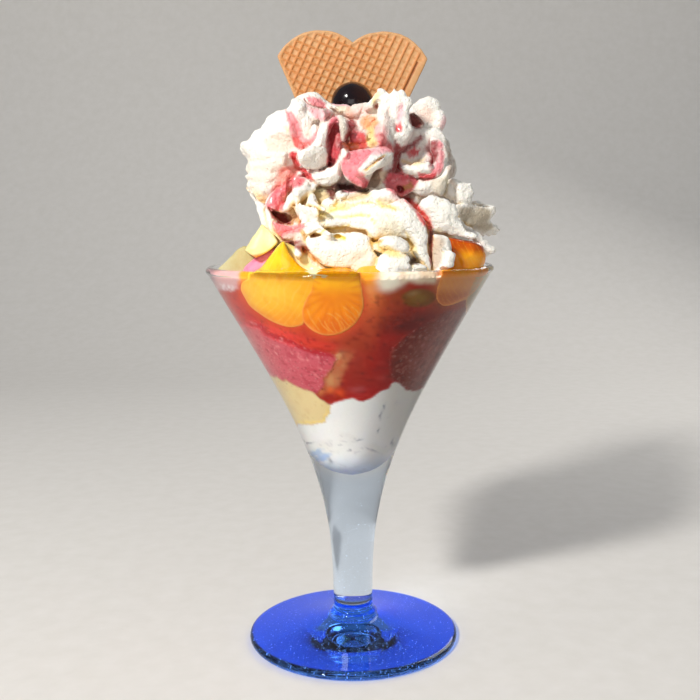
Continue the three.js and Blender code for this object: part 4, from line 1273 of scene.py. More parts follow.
        rays = np.abs(np.sin(la * 0.9 + lb * 0.15 + 1.2 * vnoise(V, 5, 93)))
        base = paint(base, 0.3 * step(0.3, 0.0, rays), colour[2])
        make(name, V, Q, mat, node, {"tint": base, "wet": 0.5 * step(167, 170, V[:, 2]), "free": step(165, 170, V[:, 2])})

    OR = ((248, 150, 22), (238, 120, 8), (255, 190, 80))
    PE = ((250, 190, 60), (246, 160, 44), (252, 214, 110))
    PA = ((226, 216, 176), (206, 194, 148), (238, 230, 200))
    GR = ((150, 138, 52), (118, 98, 28), (176, 164, 80))
    blob("grape_r", "grape_right", grape_m, 27, 160, 7.2, (7.4, 6, 6), 0, 0, GR, square=1.0, into=0.6)
    blob("peach_bit", "peach_piece_front", peach_m, 9, 165, 5, (6, 4.2, 4.2), 0, 0, PE, square=1.5)
    blob("mandarin_b", "mandarin_segment_back", mand_m, 172, 158, 6, (11.5, 15.5, 6.4), 12, 1.5, OR)
    blob("peach_b", "peach_slice_back", peach_m, 141, 163, 6.5, (14.5, 19.5, 7), 18, 3, PE)
    blob("pear_b", "pear_slice_back", pear_m, -152, 165.5, 5, (10, 13, 4.8), -20, 0, PA, square=1.4)
    blob("grape_b", "grape_back", grape_m, 112, 161, 7, (7.2, 6, 6), 0, 0, GR, square=1.0)
    blob("mandarin_l", "mandarin_segment_left", mand_m, -112, 156, 6, (9.5, 14, 6), 20, 2, OR)


# ------------------------------------------------------------------ whipped cream
def upper_folds(g, pl=FRONT):
    def p(poly, y0, **kw):
        patch(g, poly, y0, place=pl, **kw)

    def n(poly, amount, soft=1.5, yb=12):
        press(g, poly, amount, soft, yb=yb, place=pl)

    def gr(line, amount, width):
        line_press(g, line, amount, width, yb=14, place=pl)

    # far right lobe and what stands under it
    p([(430, 132), (438, 133), (446, 138), (451, 145), (453, 155), (456, 165), (456, 173), (451, 179), (444, 180), (436, 176), (430, 165), (428, 150)], 2, bulge=8, bw=8, thick=24)
    p([(445, 182), (449, 179), (454, 177.5), (462, 181), (467, 183), (471, 182.5), (471, 187), (474.5, 189.5), (474, 195), (473, 199), (470, 204), (464, 206), (456, 204), (448, 200), (442, 196), (442, 188)],
      -20, gx=-0.15, bulge=2.2, bw=2.0, thick=20, rag=0.4, rag_wl=3, r=0.7)
    gr([(454, 179), (459, 186), (461, 193), (460, 202)], -0.9, 1.2)
    gr([(449, 182), (453, 188), (455, 196), (454, 202)], 1.0, 1.6)
    p([(404, 128), (424, 127), (440, 129), (449, 146), (452, 176), (436, 198), (404, 200), (394, 160)], -11, bulge=2, bw=5, thick=22)
    # the ear, with a dish in its face and a hole beside it
    p([(412, 104), (416, 102), (420, 99), (427, 97), (434, 99), (439, 104), (440, 110), (444, 112), (446, 120), (445, 127), (438, 132), (430, 135), (423, 133), (418, 131), (411, 129), (407, 124), (406, 117), (405, 110)],
      -6, bulge=3, bw=4, thick=14, rag=0.25)
    n([(416, 109), (426, 106), (434, 112), (436, 122), (430, 128), (422, 122)], 1.5, 2.0)
    dig(g, [(408, 116), (414, 113.5), (419, 118), (423, 123), (421, 128), (414, 127), (409, 121)], -2, place=pl)
    # fan at the left, ridged from its root outwards
    p([(294, 99), (286, 109), (278, 112), (268, 116), (264, 122), (261, 127), (257, 130), (252, 134), (248, 139), (241, 142), (240, 147), (244, 152), (249, 157), (248, 165), (249, 172), (245, 176), (248, 180),
       (247, 186), (250, 195), (256, 203), (264, 204), (274, 198), (284, 188), (294, 178), (300, 168), (305, 155), (312, 140), (314, 125), (308, 108), (300, 100)],
      -13, gx=-0.25, bulge=7, bw=9, thick=24, rag=0.35, ridge=("fan", 304, 148, 26, 0.3))
    n([(264, 142), (274, 136), (288, 134), (297, 139), (296, 147), (286, 151), (270, 151)], 1.8, 2.5)
    gr([(258, 168), (268, 172), (282, 172), (290, 168)], 0.6, 1.1)
    gr([(252, 180), (262, 184), (274, 181), (283, 175)], 0.7, 1.2)
    gr([(250, 160), (262, 161), (276, 158), (288, 157)], 0.5, 1.0)
    gr([(287, 111), (293, 121), (299, 133), (305, 146)], 1.3, 1.5)
    gr([(292, 156), (298, 168), (307, 172), (314, 181)], 2.0, 1.0)
    # hump at the top left with its flap
    p([(290, 104), (294, 99), (300, 95), (308, 93), (316, 92), (322, 96), (326, 100), (334, 104), (345, 104), (352, 108), (350, 118), (340, 118), (330, 116), (322, 122), (315, 134), (306, 142), (300, 135), (293, 122), (288, 112)],
      -13, bulge=6, bw=6, thick=22)
    p([(305, 108), (315, 108), (327, 109), (333, 112), (328, 120), (318, 124), (310, 122)], -17, bulge=2.5, bw=3, thick=8, rag=0.6, rag_wl=3)
    p([(328, 104), (340, 104), (352, 106), (362, 104), (364, 112), (356, 118), (344, 116), (334, 112)], -16, bulge=3, bw=3, thick=10, rag=0.5, rag_wl=3)
    gr([(304.5, 98.5), (307, 103), (313, 106.5), (320, 108), (325, 107.5)], 1.4, 0.5)
    # left side strip below the fan
    p([(246, 186), (249, 193), (254, 200), (255, 208), (259, 216), (262, 225), (266, 232), (272, 237), (280, 238), (284, 236), (280, 229), (274, 221), (270, 212), (266, 204), (258, 200)], -20, gz=0.3, bulge=3, bw=4, thick=16, rag=0.2)
    # middle of the top: back face, the small strand, the crown and the drooping fold
    p([(362, 104), (372, 102), (380, 104), (384, 115), (384, 130), (388, 145), (380, 150), (366, 146), (360, 135), (358, 118)], -16, bulge=3, bw=5, thick=14, rag=0.4, rag_wl=3)
    p([(364, 106), (369, 100), (376, 92), (381, 88), (386, 91), (386, 97), (381, 101), (376, 107), (370, 112), (365, 111)], -20, bulge=2.5, bw=3, thick=10, rag=0.4, rag_wl=3)
    dig(g, [(374, 104), (377, 103.5), (377.5, 107), (375, 109)], -18, place=pl)
    p([(379, 104), (383, 96), (387, 92), (390, 93.5), (394, 88), (398, 91), (402, 88), (404, 93), (406, 97.5), (409, 98), (414, 103), (411, 108), (408, 114), (409, 124), (410, 136), (404, 146), (396, 152), (387, 150),
       (380, 144), (377, 132), (376, 118)], -22, bulge=3.2, bw=9, thick=16, rag=0.25, rag_wl=3, k=1.2)
    p([(396, 113), (400, 108), (405, 110), (408, 116), (411, 124), (414, 130), (411, 137), (406, 143), (402, 149), (396, 149), (390, 145), (387, 138), (388, 131), (392, 122)], -23.5, bulge=3.6, bw=4.5, thick=12, k=3.0)
    n([(398, 110), (403, 107), (402, 115), (403, 127), (401.5, 133), (396, 133.5), (394.5, 127), (396, 118)], 1.5, 1.3)
    gr([(392, 97), (390, 106), (391, 116)], 0.8, 1.4)
    # right: curl, ribbon and the folds under them
    p([(430, 138), (437, 138), (443, 141), (447, 147), (449, 158), (446, 166), (441, 176), (434, 180), (424, 180), (416, 179), (416, 174), (426, 172), (432, 165), (433, 156), (430, 150)], -18, bulge=2.5, bw=3, thick=12)
    p([(443, 146), (449, 150), (447, 158), (452, 166), (448, 176), (442, 178), (440, 165)], -14, bulge=2.5, bw=3, thick=12, rag=0.5, rag_wl=3)
    p([(398, 158), (404, 153), (410, 150), (416, 146), (424, 142), (429, 144), (430, 149), (426, 155), (420, 160), (412, 163), (404, 163)], -27, bulge=3, bw=3, thick=9)
    p([(399, 168), (404, 165), (412, 164), (422, 162), (430, 163), (434, 167), (432, 172), (424, 175), (412, 176), (403, 174)], -29, bulge=3, bw=3, thick=10, rag=0.4, rag_wl=3)
    p([(383, 180), (390, 175), (400, 173), (412, 177), (416, 181), (414, 188), (408, 194), (400, 197), (392, 192), (386, 188)], -27, bulge=2, bw=3, thick=9)
    dig(g, [(397, 186), (401, 185), (404, 189), (402, 193), (398, 191)], -24.5, place=pl)
    p([(414, 184), (420, 180), (432, 179), (441, 176), (446, 168), (451, 164), (452, 170), (448, 182), (446, 191), (441, 197), (433, 194), (427, 196), (420, 196), (414, 193), (411, 189)], -27, bulge=3, bw=3.5, thick=12, rag=0.25)
    # the thumb: a standing fold with its sauced face turned right
    p([(330, 119), (338, 115), (345, 117), (352, 121), (357, 125), (353, 131), (348, 138), (344, 146), (340, 153), (338, 160), (330, 164), (326, 158), (325, 145), (327, 130)], -28, bulge=2, bw=4, thick=12)
    p([(351, 134), (357, 131), (366, 134), (367, 142), (358, 144), (351, 142)], -28, bulge=2.5, bw=3, thick=12, rag=0.5, rag_wl=3)
    p([(343, 143), (352, 142), (366, 143), (369, 148), (360, 152), (346, 152)], -27, bulge=1.5, bw=3, thick=10)
    p([(297, 155), (302, 150), (310, 146), (315, 139), (319, 130), (325, 122), (332, 117), (338, 118), (335, 124), (331, 130), (328, 138), (327, 148), (328, 156), (330, 163), (322, 168), (312, 170), (304, 167), (299, 162)],
      -34, gx=0.18, bulge=4, bw=5, thick=14, rag=0.3)
    p([(299, 158), (306, 150), (314, 146), (322, 147), (328, 151), (330, 160), (326, 166), (318, 169), (309, 169), (302, 164)], -38.5, gx=0.55, gz=-0.5, bulge=1.5, bw=3, thick=10, k=1.6, rag=0.3, rag_wl=4)
    stroke(g, [(341, 119, -31), (344, 127, -33), (343, 139, -33)], [1.2, 2.2, 1.4], place=pl)
    p([(306, 170), (314, 170), (324, 169), (332, 165), (339, 162), (343, 168), (343, 176), (337, 183), (328, 186), (318, 185), (311, 181)], -35, bulge=4, bw=4, thick=14, rag=0.4, rag_wl=4)
    # the tongue in the middle
    p([(340, 152), (344, 149), (349, 152), (354, 150), (364, 149), (374, 148), (385, 147), (391, 152), (394, 158), (389, 163), (381, 168), (374, 173), (371, 181), (367, 187), (362, 190), (355, 185), (347, 179), (342, 170), (339, 160)],
      -38, gx=0.1, bulge=3, bw=4, thick=16)
    p([(341, 151), (345, 149), (349, 153), (348, 158), (343, 158)], -41, bulge=1.5, bw=2, thick=6)
    stroke(g, [(359, 173, -41), (366, 167, -43), (376, 160, -43), (387, 154, -40)], [1.6, 3.0, 3.2, 2.2], place=pl)
    gr([(364, 171), (371, 165), (378, 160), (385, 156)], 1.4, 0.35)
    # petal folding over the cave at the left
    p([(265, 204), (270, 194), (280, 186), (292, 178), (300, 172), (308, 175), (313, 181), (300, 185), (290, 190), (286, 200), (284, 210), (278, 213), (270, 209)], -29, gx=0.15, bulge=3, bw=4, thick=12)
    p([(281.5, 211), (284, 203), (288, 195.5), (295, 189), (302, 185), (314, 181), (319, 185), (311, 191), (303, 197), (296, 203.5), (289, 211)], -35.5, gx=-0.1, gz=0.25, bulge=2.2, bw=2.0, thick=8, r=0.7, rag=0.25, rag_wl=3)


def lower_folds(g, pl=FRONT):
    def p(poly, y0, **kw):
        patch(g, poly, y0, place=pl, **kw)

    # leaf and fringe at the right
    p([(456, 206), (463, 204), (470, 202), (483, 205), (496, 207), (494, 215), (489, 222), (493, 224), (499, 226), (501, 230), (496, 233), (485, 236), (474, 232), (464, 226), (456, 218)], -14, gx=0.55, gz=-0.55, bulge=1.0, bw=1.5, thick=6, rag=0.6, rag_wl=3, r=0.5)
    stroke(g, [(470, 204, -15), (477, 203.5, -13.5), (486, 206.5, -10.5), (494.5, 208.5, -8)], [0.9, 1.3, 1.1, 0.6], place=pl)
    p([(452, 216), (460, 220), (466, 226), (472, 230), (480, 234), (486, 243), (494, 250), (489, 254), (483, 254), (479, 246), (470, 239), (458, 236), (448, 232), (446, 224)], -22, bulge=2.5, bw=3, thick=10, rag=0.8, rag_wl=4)
    p([(416, 207), (425, 198), (431, 194), (438, 196), (448, 201), (456, 210), (458, 218), (462, 224), (468, 231), (478, 236), (470, 239), (455, 236), (440, 233), (432, 231), (426, 222), (420, 214)], -36, bulge=5, bw=9, thick=18, rag=0.5)
    # back wall of the caves, and the mass behind the skirt's sheets
    p([(282, 205), (296, 196), (320, 188), (350, 186), (372, 186), (380, 196), (370, 212), (340, 222), (306, 226), (280, 222)], -32, bulge=2, bw=4, thick=8)
    p([(300, 224), (330, 208), (378, 200), (402, 200), (420, 216), (428, 240), (428, 272), (310, 272), (303, 250)], -42.5, bulge=1.5, bw=6, thick=12)
    dig(g, [(268, 207), (278, 212.5), (288, 214), (292, 219), (285, 223), (275, 217)], -24, place=pl)
    dig(g, [(334, 191), (339, 185), (348, 184), (356, 188), (364, 191), (370, 188), (366, 192.5), (352, 192), (341, 194)], -27, place=pl)
    p([(273, 222), (280, 224), (290, 226), (300, 223), (306, 225), (304, 231), (296, 234), (286, 237), (278, 235)], -38, bulge=1.5, bw=4, thick=10)
    stroke(g, [(285, 236.5, -41), (291, 235, -42.5), (297, 234, -41)], 1.7, place=pl)
    stroke(g, [(298, 233, -42), (301, 236, -43), (303, 240, -43)], 1.7, place=pl)
    stroke(g, [(302, 243, -43), (306, 244.5, -44), (310, 248, -44)], 1.5, place=pl)
    p([(276, 236), (284, 238), (300, 236), (312, 246), (318, 256), (308, 256), (296, 248), (284, 244)], -36, bulge=1, bw=3, thick=10)
    # crests over the cave
    p([(320, 211), (321, 203), (325, 199), (331, 197.5), (337, 200), (337, 206), (331, 211), (326, 217), (321, 216.5)], -41, bulge=2.2, bw=2.2, thick=9, r=0.6, k=0.3, rag=0.35, rag_wl=3)
    p([(334, 196), (339, 191), (346, 190), (350, 194), (346, 199), (340, 201), (335, 200)], -42.5, bulge=1.8, bw=1.8, thick=8, r=0.6, k=0.3, rag=0.5, rag_wl=2.6)
    p([(336, 206), (340, 201.5), (346, 202), (350, 207), (345, 210.5), (338, 210)], -43.5, bulge=1.5, bw=1.8, thick=8, r=0.6, k=0.3, rag=0.5, rag_wl=2.6)
    p([(345, 200), (356, 197), (368, 193), (376, 190), (380, 196), (372, 202), (360, 207), (348, 210), (342, 207)], -42.5, gz=0.25, bulge=1.2, bw=2.5, thick=9, r=0.6, k=0.9, rag=0.4, rag_wl=3.5)
    stroke(g, [(312, 197, -37), (310.5, 206, -39), (304.5, 216, -40.5)], [1.5, 2.1, 2.2], place=pl)
    stroke(g, [(312, 198, -37), (317, 203, -38)], [1.1, 0.8], place=pl)
    p([(302, 228), (308, 222), (318, 219), (330, 217), (345, 215), (360, 211), (372, 212), (377, 220), (374, 230), (360, 230), (345, 227), (330, 229), (318, 234), (308, 236)], -46.5, gz=0.2, bulge=1.6, bw=3, thick=12, r=0.7, k=1.0, rag=0.35, rag_wl=4)
    p([(318, 217), (330, 211), (345, 209), (360, 204), (374, 203), (382, 208), (378, 215), (364, 214), (348, 217), (332, 219)], -44.5, gz=0.25, bulge=1.2, bw=2.5, thick=9, r=0.6, k=0.9, rag=0.35, rag_wl=4)
    p([(306, 238), (314, 236), (324, 235), (336, 233), (350, 232), (362, 233), (371, 238), (374, 248), (371, 258), (362, 264), (350, 268), (336, 268), (322, 265), (313, 256), (307, 247)], -49.5, gz=0.10, bulge=3.6, bw=12, thick=18, r=1.2, k=1.8, rag=0.15)
    press(g, [(333, 236), (339, 234.5), (346, 238.5), (345, 241), (337, 240)], 1.6, 0.7, yb=-30, place=pl)
    line_press(g, [(305, 237), (318, 231), (334, 227), (350, 225)], 0.6, 0.4, yb=-30, place=pl)
    line_press(g, [(324, 218), (334, 219), (350, 218), (364, 217), (372, 221)], 0.5, 0.4, yb=-30, place=pl)
    dig(g, [(310, 238), (314, 233), (322, 235), (316, 237)], -42, place=pl)
    p([(352, 262), (360, 256), (370, 250), (378, 256), (380, 266), (376, 276), (362, 277), (352, 274)], -50, bulge=3, bw=4, thick=12)
    p([(308, 252), (314, 256), (322, 265), (330, 270), (322, 271), (312, 264)], -46, bulge=2, bw=3, thick=8, rag=0.4, rag_wl=3)
    # the big drooping fold at the right of the front
    p([(372, 198), (377, 191), (384, 188), (391, 189), (397, 194), (401, 200), (400, 208), (392, 207), (382, 203), (375, 204)], -42, bulge=3, bw=3, thick=9, rag=0.6, rag_wl=4)
    p([(368, 208), (380, 204), (392, 203), (401, 198), (407, 201), (413, 207), (420, 216), (426, 226), (428, 236), (428, 248), (430, 262), (430, 271), (424, 271), (418, 262), (413, 252), (410, 243), (404, 238), (394, 238),
       (382, 240), (372, 240), (366, 232), (364, 218)], -47, bulge=3.5, bw=7, thick=18, rag=0.5)
    line_press(g, [(404, 230), (408, 238), (414, 246), (417, 254)], 1.0, 1.0, yb=-30, place=pl)
    p([(372, 244), (380, 241), (392, 246), (404, 250), (408, 256), (400, 258), (388, 254), (376, 252)], -49, bulge=2, bw=3, thick=10)
    stroke(g, [(383, 243, -51.5), (393, 243, -53), (403, 247, -52.5)], [2.2, 2.9, 2.5], place=pl)
    p([(375, 270), (377, 261), (381, 254), (386, 250), (396, 250), (405, 254), (411, 262), (409, 270), (404, 277), (376, 277)], -54, gz=0.2, bulge=2, bw=4, thick=14, r=0.8, rag=0.3, rag_wl=4)
    dig(g, [(409, 264), (413, 256), (417, 258), (419, 264)], -44, place=pl)
    p([(404, 268), (412, 264), (422, 264), (431, 271), (430, 276), (404, 276)], -52, bulge=2, bw=3, thick=10)
    p([(431, 236), (440, 234), (448, 238), (452, 246), (452, 258), (448, 268), (440, 276), (433, 274), (431, 262)], -44, bulge=3, bw=3, thick=12)
    p([(439, 248), (443, 246), (448, 250), (455, 252), (457, 256), (453, 262), (452, 270), (446, 276), (436, 276), (438, 268), (443, 262), (443, 254)], -47, bulge=2, bw=2.5, thick=9, rag=0.4, rag_wl=3)


def sweep(g, az0, az1, r, z, lift, w, t, count, n=5, depth=0.13, seed=0, k=1.0):
    """A ring of overlapping ridged dollops from azimuth az0 to az1 (degrees from the front, leftwards negative)."""
    rng = np.random.default_rng(seed)
    for i in range(count):
        a = math.radians(az0 + (az1 - az0) * (i + 0.5) / count + rng.uniform(-5, 5))
        b = a + math.radians((az1 - az0) / count * 0.5)
        p = (r * math.sin(a), -r * math.cos(a) + 2, z + rng.uniform(-2, 2))
        q = ((r - lift * 0.35) * math.sin(b), -(r - lift * 0.35) * math.cos(b) + 2, z + lift + rng.uniform(-2, 2))
        dollop(g, p, q, w * rng.uniform(0.85, 1.1), t * rng.uniform(0.85, 1.1), n, depth, k, rng.uniform(-0.8, 0.8))


# sauce and syrup stains on the cream, and painted shade in its hollows, holes, caves and undersides: outline in the
# view, colour, strength, softness in px, shine
PINK, ROSE, RED, DARK, MAROON = (246, 150, 156), (240, 108, 118), (228, 46, 50), (176, 34, 44), (150, 16, 26)
YELLOW, OCHRE, ORANGE, BEIGE, BROWN = (250, 222, 130), (226, 190, 128), (240, 160, 84), (234, 212, 192), (128, 48, 34)
STAINS_AND_SHADE = [
    # painted shade in the fan's hollow
    ([(264, 140), (276, 134), (290, 134), (298, 140), (296, 148), (284, 152), (268, 152)], BEIGE, 0.8, 3.0, 0.1),
    ([(247, 158), (262, 155), (282, 156), (292, 166), (282, 178), (268, 188), (252, 192), (247, 180)], (243, 230, 214), 0.8, 3.0, 0),
    ([(283, 126), (288, 125), (292, 130), (288, 133), (284, 131)], (246, 238, 190), 0.7, 1.5, 0),
    ([(286, 110), (291, 112), (296, 119), (301, 129), (305, 137), (309, 141), (313, 134), (318, 130), (316, 136), (311, 145), (305, 147), (297, 149), (294, 142), (290, 130), (287, 120)], PINK, 0.95, 1.2, 0.4),
    ([(293, 136), (300, 138), (306, 143), (312, 141), (308, 147), (298, 150), (294, 146)], (240, 104, 96), 0.95, 1.2, 0.6),
    ([(289, 152), (293, 151), (297, 153), (297, 158), (300, 166), (299, 171), (296, 166), (293, 160), (290, 158)], RED, 0.95, 0.9, 0.8),
    ([(279, 170), (287, 167), (296, 165), (300, 170), (294, 177), (285, 184), (277, 190), (271, 192), (274, 184), (279, 177)], (244, 146, 130), 0.9, 1.8, 0.5),
    ([(288, 178), (296, 173), (298, 177), (290, 183), (280, 191), (272, 197), (274, 190), (281, 184)], (226, 74, 74), 0.8, 1.2, 0.7),
    ([(299, 168), (305, 169), (310, 173), (314, 181), (306, 179), (301, 175)], (220, 46, 52), 0.95, 0.8, 0.8),
    ([(265, 204), (270, 194), (278, 188), (286, 184), (292, 179), (299, 176), (305, 180), (302, 185), (293, 189), (287, 194), (285, 202), (283, 211), (274, 212), (267, 208)], ROSE, 0.95, 1.4, 0.8),
    ([(306, 97), (313, 96.5), (320, 98), (325, 102), (328, 108), (321, 108), (313, 106), (308, 102)], PINK, 0.98, 0.8, 0.3),
    ([(307, 105), (311, 108), (320, 110), (328, 109), (331, 113), (329, 119), (320, 120), (313, 118), (309, 112)], (246, 158, 170), 0.75, 1.5, 0.3),
    ([(329, 100), (336, 102), (346, 104), (352, 105), (344, 106), (334, 106)], (246, 172, 188), 0.9, 1.0, 0.3),
    ([(344, 108), (350, 106), (356, 110), (356, 118), (350, 122), (345, 116)], (250, 184, 158), 0.85, 1.8, 0.3),
    ([(350, 106), (366, 104), (372, 108), (366, 118), (356, 122)], (250, 214, 204), 0.8, 2.5, 0.2),
    ([(336, 105), (345, 106), (347, 111), (340, 114), (334, 111)], (246, 236, 204), 0.8, 1.5, 0),
    # thumb's right face: sauce darkened by painted shade, and a grey ridge that is painted shade
    ([(330, 119), (334, 115), (338, 117), (338, 122), (335, 128), (331, 130), (329, 125)], (240, 116, 130), 0.95, 1.0, 0.5),
    ([(328, 124), (334, 122), (339, 126), (342, 138), (343, 148), (339, 158), (331, 168), (326, 166), (328, 156), (326, 140)], DARK, 0.9, 1.4, 0.9),
    ([(328, 146), (338, 144), (341, 152), (337, 160), (330, 166), (326, 162), (329, 154)], (206, 66, 78), 0.7, 2.0, 1.0),
    ([(346, 120), (352, 119), (358, 126), (356, 133), (350, 138), (345, 142), (343, 138), (347, 130)], MAROON, 0.95, 1.2, 0.8),
    ([(339, 116), (345, 116), (346, 124), (345, 137), (341, 140), (340, 130)], (214, 204, 188), 0.85, 1.2, 0.5),
    ([(351, 134), (357, 131), (366, 134), (368, 142), (358, 144), (351, 142)], (240, 104, 112), 0.9, 1.0, 0.6),
    ([(342, 143), (352, 142), (366, 142), (368, 147), (356, 150), (346, 150)], (236, 124, 66), 0.95, 1.0, 1.0),
    # syrup and sauce in the middle; the ear's hole, the dark red crevices, the small hole and the grey-cream underside
    # at the right are painted shade, the crevices partly sauce
    ([(362, 118), (368, 114), (376, 117), (379, 124), (374, 129), (364, 129), (360, 124)], ORANGE, 0.85, 1.8, 0.8),
    ([(366, 128), (374, 127), (378, 134), (378, 144), (372, 149), (367, 144), (368, 136)], (252, 232, 150), 0.9, 1.6, 0.6),
    ([(358, 134), (364, 133), (367, 142), (364, 150), (358, 148)], (222, 72, 70), 0.8, 1.4, 0.8),
    ([(374, 128), (380, 122), (388, 130), (388, 142), (394, 150), (386, 152), (378, 146), (375, 136)], (246, 186, 182), 0.85, 2.0, 0.4),
    ([(378, 142), (388, 144), (396, 150), (392, 153), (382, 150)], (226, 92, 96), 0.9, 1.2, 0.6),
    ([(398, 104), (402, 103), (404, 114), (403, 124), (399, 126), (397, 116)], (248, 196, 196), 0.7, 1.4, 0.3),
    ([(399, 106), (403, 104), (402, 114), (400, 123), (397, 122), (399, 114)], (246, 196, 204), 0.8, 1.0, 0.3),
    ([(396, 125), (400, 123.5), (402.5, 127), (401.5, 132), (397, 133), (395, 129)], (238, 62, 70), 0.95, 1.0, 0.8),
    ([(376, 134), (384, 132), (389, 141), (397, 150), (390, 153), (380, 148)], (226, 112, 112), 0.85, 1.8, 0.5),
    ([(382, 112), (390, 104), (394, 112), (390, 124), (386, 132), (380, 126)], (250, 226, 216), 0.7, 3.0, 0.1),
    ([(376, 92), (380, 90), (379, 96), (374, 102), (371, 104), (372, 98)], (250, 224, 160), 0.8, 1.0, 0.2),
    ([(374, 104), (377, 103.5), (377.5, 107), (375, 109)], (206, 110, 90), 0.95, 0.8, 0.2),
    ([(409, 114), (414, 113), (419, 117), (424, 124), (421, 129), (414, 128), (408, 121)], (150, 74, 70), 0.98, 0.8, 0.1),
    ([(418, 110), (428, 107), (434, 114), (434, 122), (426, 124), (420, 118)], (252, 222, 206), 0.8, 2.0, 0.2),
    ([(443, 115), (447, 118), (446, 127), (441, 131), (440, 124)], (246, 196, 200), 0.7, 1.2, 0.2),
    ([(394, 140), (402, 148), (412, 142), (420, 134), (424, 138), (418, 145), (404, 153), (395, 156)], MAROON, 0.9, 1.5, 0.7),
    ([(406, 152), (414, 148), (420, 150), (417, 156), (409, 158)], (224, 84, 88), 0.95, 0.9, 0.8),
    ([(402, 160), (412, 162), (422, 159), (426, 156), (424, 162), (412, 165), (403, 164)], (250, 226, 164), 0.8, 1.2, 0.2),
    ([(430, 141), (435, 139), (439, 144), (440, 152), (437, 160), (431, 168), (428, 166), (432, 156), (429, 148)], (150, 40, 46), 0.95, 1.2, 0.8),
    ([(437, 139), (443, 144), (445, 154), (444, 164), (440, 174), (433, 176), (430, 170), (436, 164), (440, 154), (438, 146)], (244, 146, 154), 0.95, 1.4, 0.5),
    ([(416, 173), (426, 174), (436, 172), (438, 177), (430, 180), (418, 179)], (234, 78, 86), 0.95, 0.9, 0.8),
    ([(394, 152), (402, 154), (400, 164), (402, 172), (394, 178), (384, 184), (383, 176), (392, 166)], MAROON, 0.95, 1.4, 0.7),
    ([(383, 180), (390, 174), (400, 172), (412, 176), (417, 181), (414, 189), (408, 195), (400, 198), (392, 193), (386, 188)], ROSE, 0.95, 1.2, 0.7),
    ([(396, 186), (401, 185), (405, 189), (403, 194), (398, 193)], (168, 34, 34), 0.95, 0.8, 0.7),
    ([(403, 186), (410, 183), (414, 187), (408, 190), (404, 190)], (198, 140, 70), 0.9, 1.0, 0.6),
    ([(432, 180), (442, 178), (450, 172), (449, 184), (445, 194), (438, 194), (430, 188)], (214, 202, 178), 0.7, 2.0, 0.1),
    # tongue, with painted shade below its right side
    ([(347, 152), (356, 150), (368, 149), (376, 150), (370, 156), (362, 164), (358, 170), (364, 176), (370, 181), (367, 188), (361, 190), (352, 183), (343, 172), (341, 162), (344, 157)], (244, 128, 140), 0.95, 1.3, 0.5),
    ([(372, 149), (386, 147), (391, 151), (384, 154), (372, 156)], (248, 176, 184), 0.8, 1.4, 0.3),
    ([(360, 184), (366, 180), (369, 184), (364, 190)], (196, 60, 70), 0.8, 1.0, 0.5),
    ([(370, 176), (378, 170), (388, 172), (384, 182), (374, 188), (368, 186)], (224, 196, 166), 0.8, 2.0, 0.2),
    # caves of the left side: their dark red, ochre, tan and olive, the black under the tongue and the red-brown hollow
    # below are painted shade, the dark reds partly sauce; pink sauce on the shelf
    ([(266, 206), (276, 212), (286, 214), (292, 218), (290, 224), (280, 224), (272, 218)], (150, 34, 24), 0.97, 1.2, 0.0),
    ([(286, 212), (292, 200), (304, 193), (318, 188), (332, 190), (342, 196), (336, 204), (322, 212), (306, 222), (292, 218)], (236, 212, 156), 0.9, 2.0, 0.2, -37.0),
    ([(288, 204), (298, 198), (306, 200), (302, 212), (290, 214)], (220, 178, 116), 0.8, 2.5, 0.2, -37.0),
    ([(286, 214), (300, 215), (316, 216), (322, 218), (306, 222), (292, 224)], (224, 172, 116), 0.9, 1.5, 0.3, -39.0),
    ([(312, 186), (324, 186), (334, 189), (330, 193), (316, 192)], (206, 198, 160), 0.8, 1.5, 0.1, -35.0),
    ([(318, 199), (322, 205), (321, 214), (325, 218), (318, 220)], (250, 226, 150), 0.8, 1.2, 0.2),
    ([(326, 190), (333, 188), (336, 195), (334, 201), (328, 197)], (110, 22, 20), 0.95, 1.0, 0.5),
    ([(336, 184), (346, 182), (356, 186), (366, 189), (372, 186), (366, 192), (354, 191), (342, 192)], (84, 24, 14), 0.97, 1.0, 0.0),
    ([(345, 190), (356, 189), (362, 191), (352, 194)], (244, 160, 170), 0.8, 1.0, 0.3),
    ([(272, 222), (282, 224), (292, 226), (303, 222), (306, 226), (300, 232), (290, 235), (282, 238), (277, 234)], (246, 122, 124), 0.95, 1.0, 0.7),
    ([(284, 234), (296, 232), (304, 238), (296, 240), (286, 240)], (250, 206, 192), 0.7, 1.0, 0.6),
    ([(278, 236), (290, 240), (302, 240), (312, 250), (304, 254), (292, 247), (282, 243)], (150, 54, 34), 0.95, 1.2, 0.7),
    ([(300, 250), (312, 252), (322, 262), (314, 262), (304, 256)], (226, 150, 60), 0.8, 1.5, 0.6),
    # yellow in the skirt's folds: partly syrup, partly painted shade and painted light thrown from the fruit; the dark
    # gap, the dark hole and the cream-beige patches are painted shade
    ([(310, 238), (314, 233), (322, 234.5), (316, 237)], (138, 60, 34), 0.95, 0.8, 0.3),
    ([(326, 210), (338, 202), (350, 204), (344, 208), (334, 213)], (250, 226, 140), 0.8, 1.5, 0.4),
    ([(340, 198), (352, 196), (366, 192), (374, 193), (366, 198), (350, 202)], (238, 204, 130), 0.75, 1.5, 0.4),
    ([(333, 236), (339, 234.5), (346, 238), (345, 241), (338, 240)], (246, 214, 84), 0.98, 0.7, 0.8),
    ([(374, 200), (386, 203), (396, 206), (402, 211), (392, 208), (380, 207)], (248, 222, 140), 0.85, 1.3, 0.4),
    ([(370, 238), (384, 240), (380, 244), (372, 246), (368, 242)], (240, 190, 96), 0.95, 1.2, 0.7),
    ([(374, 246), (386, 245), (398, 252), (404, 256), (394, 258), (382, 254)], (248, 222, 150), 0.9, 1.5, 0.5),
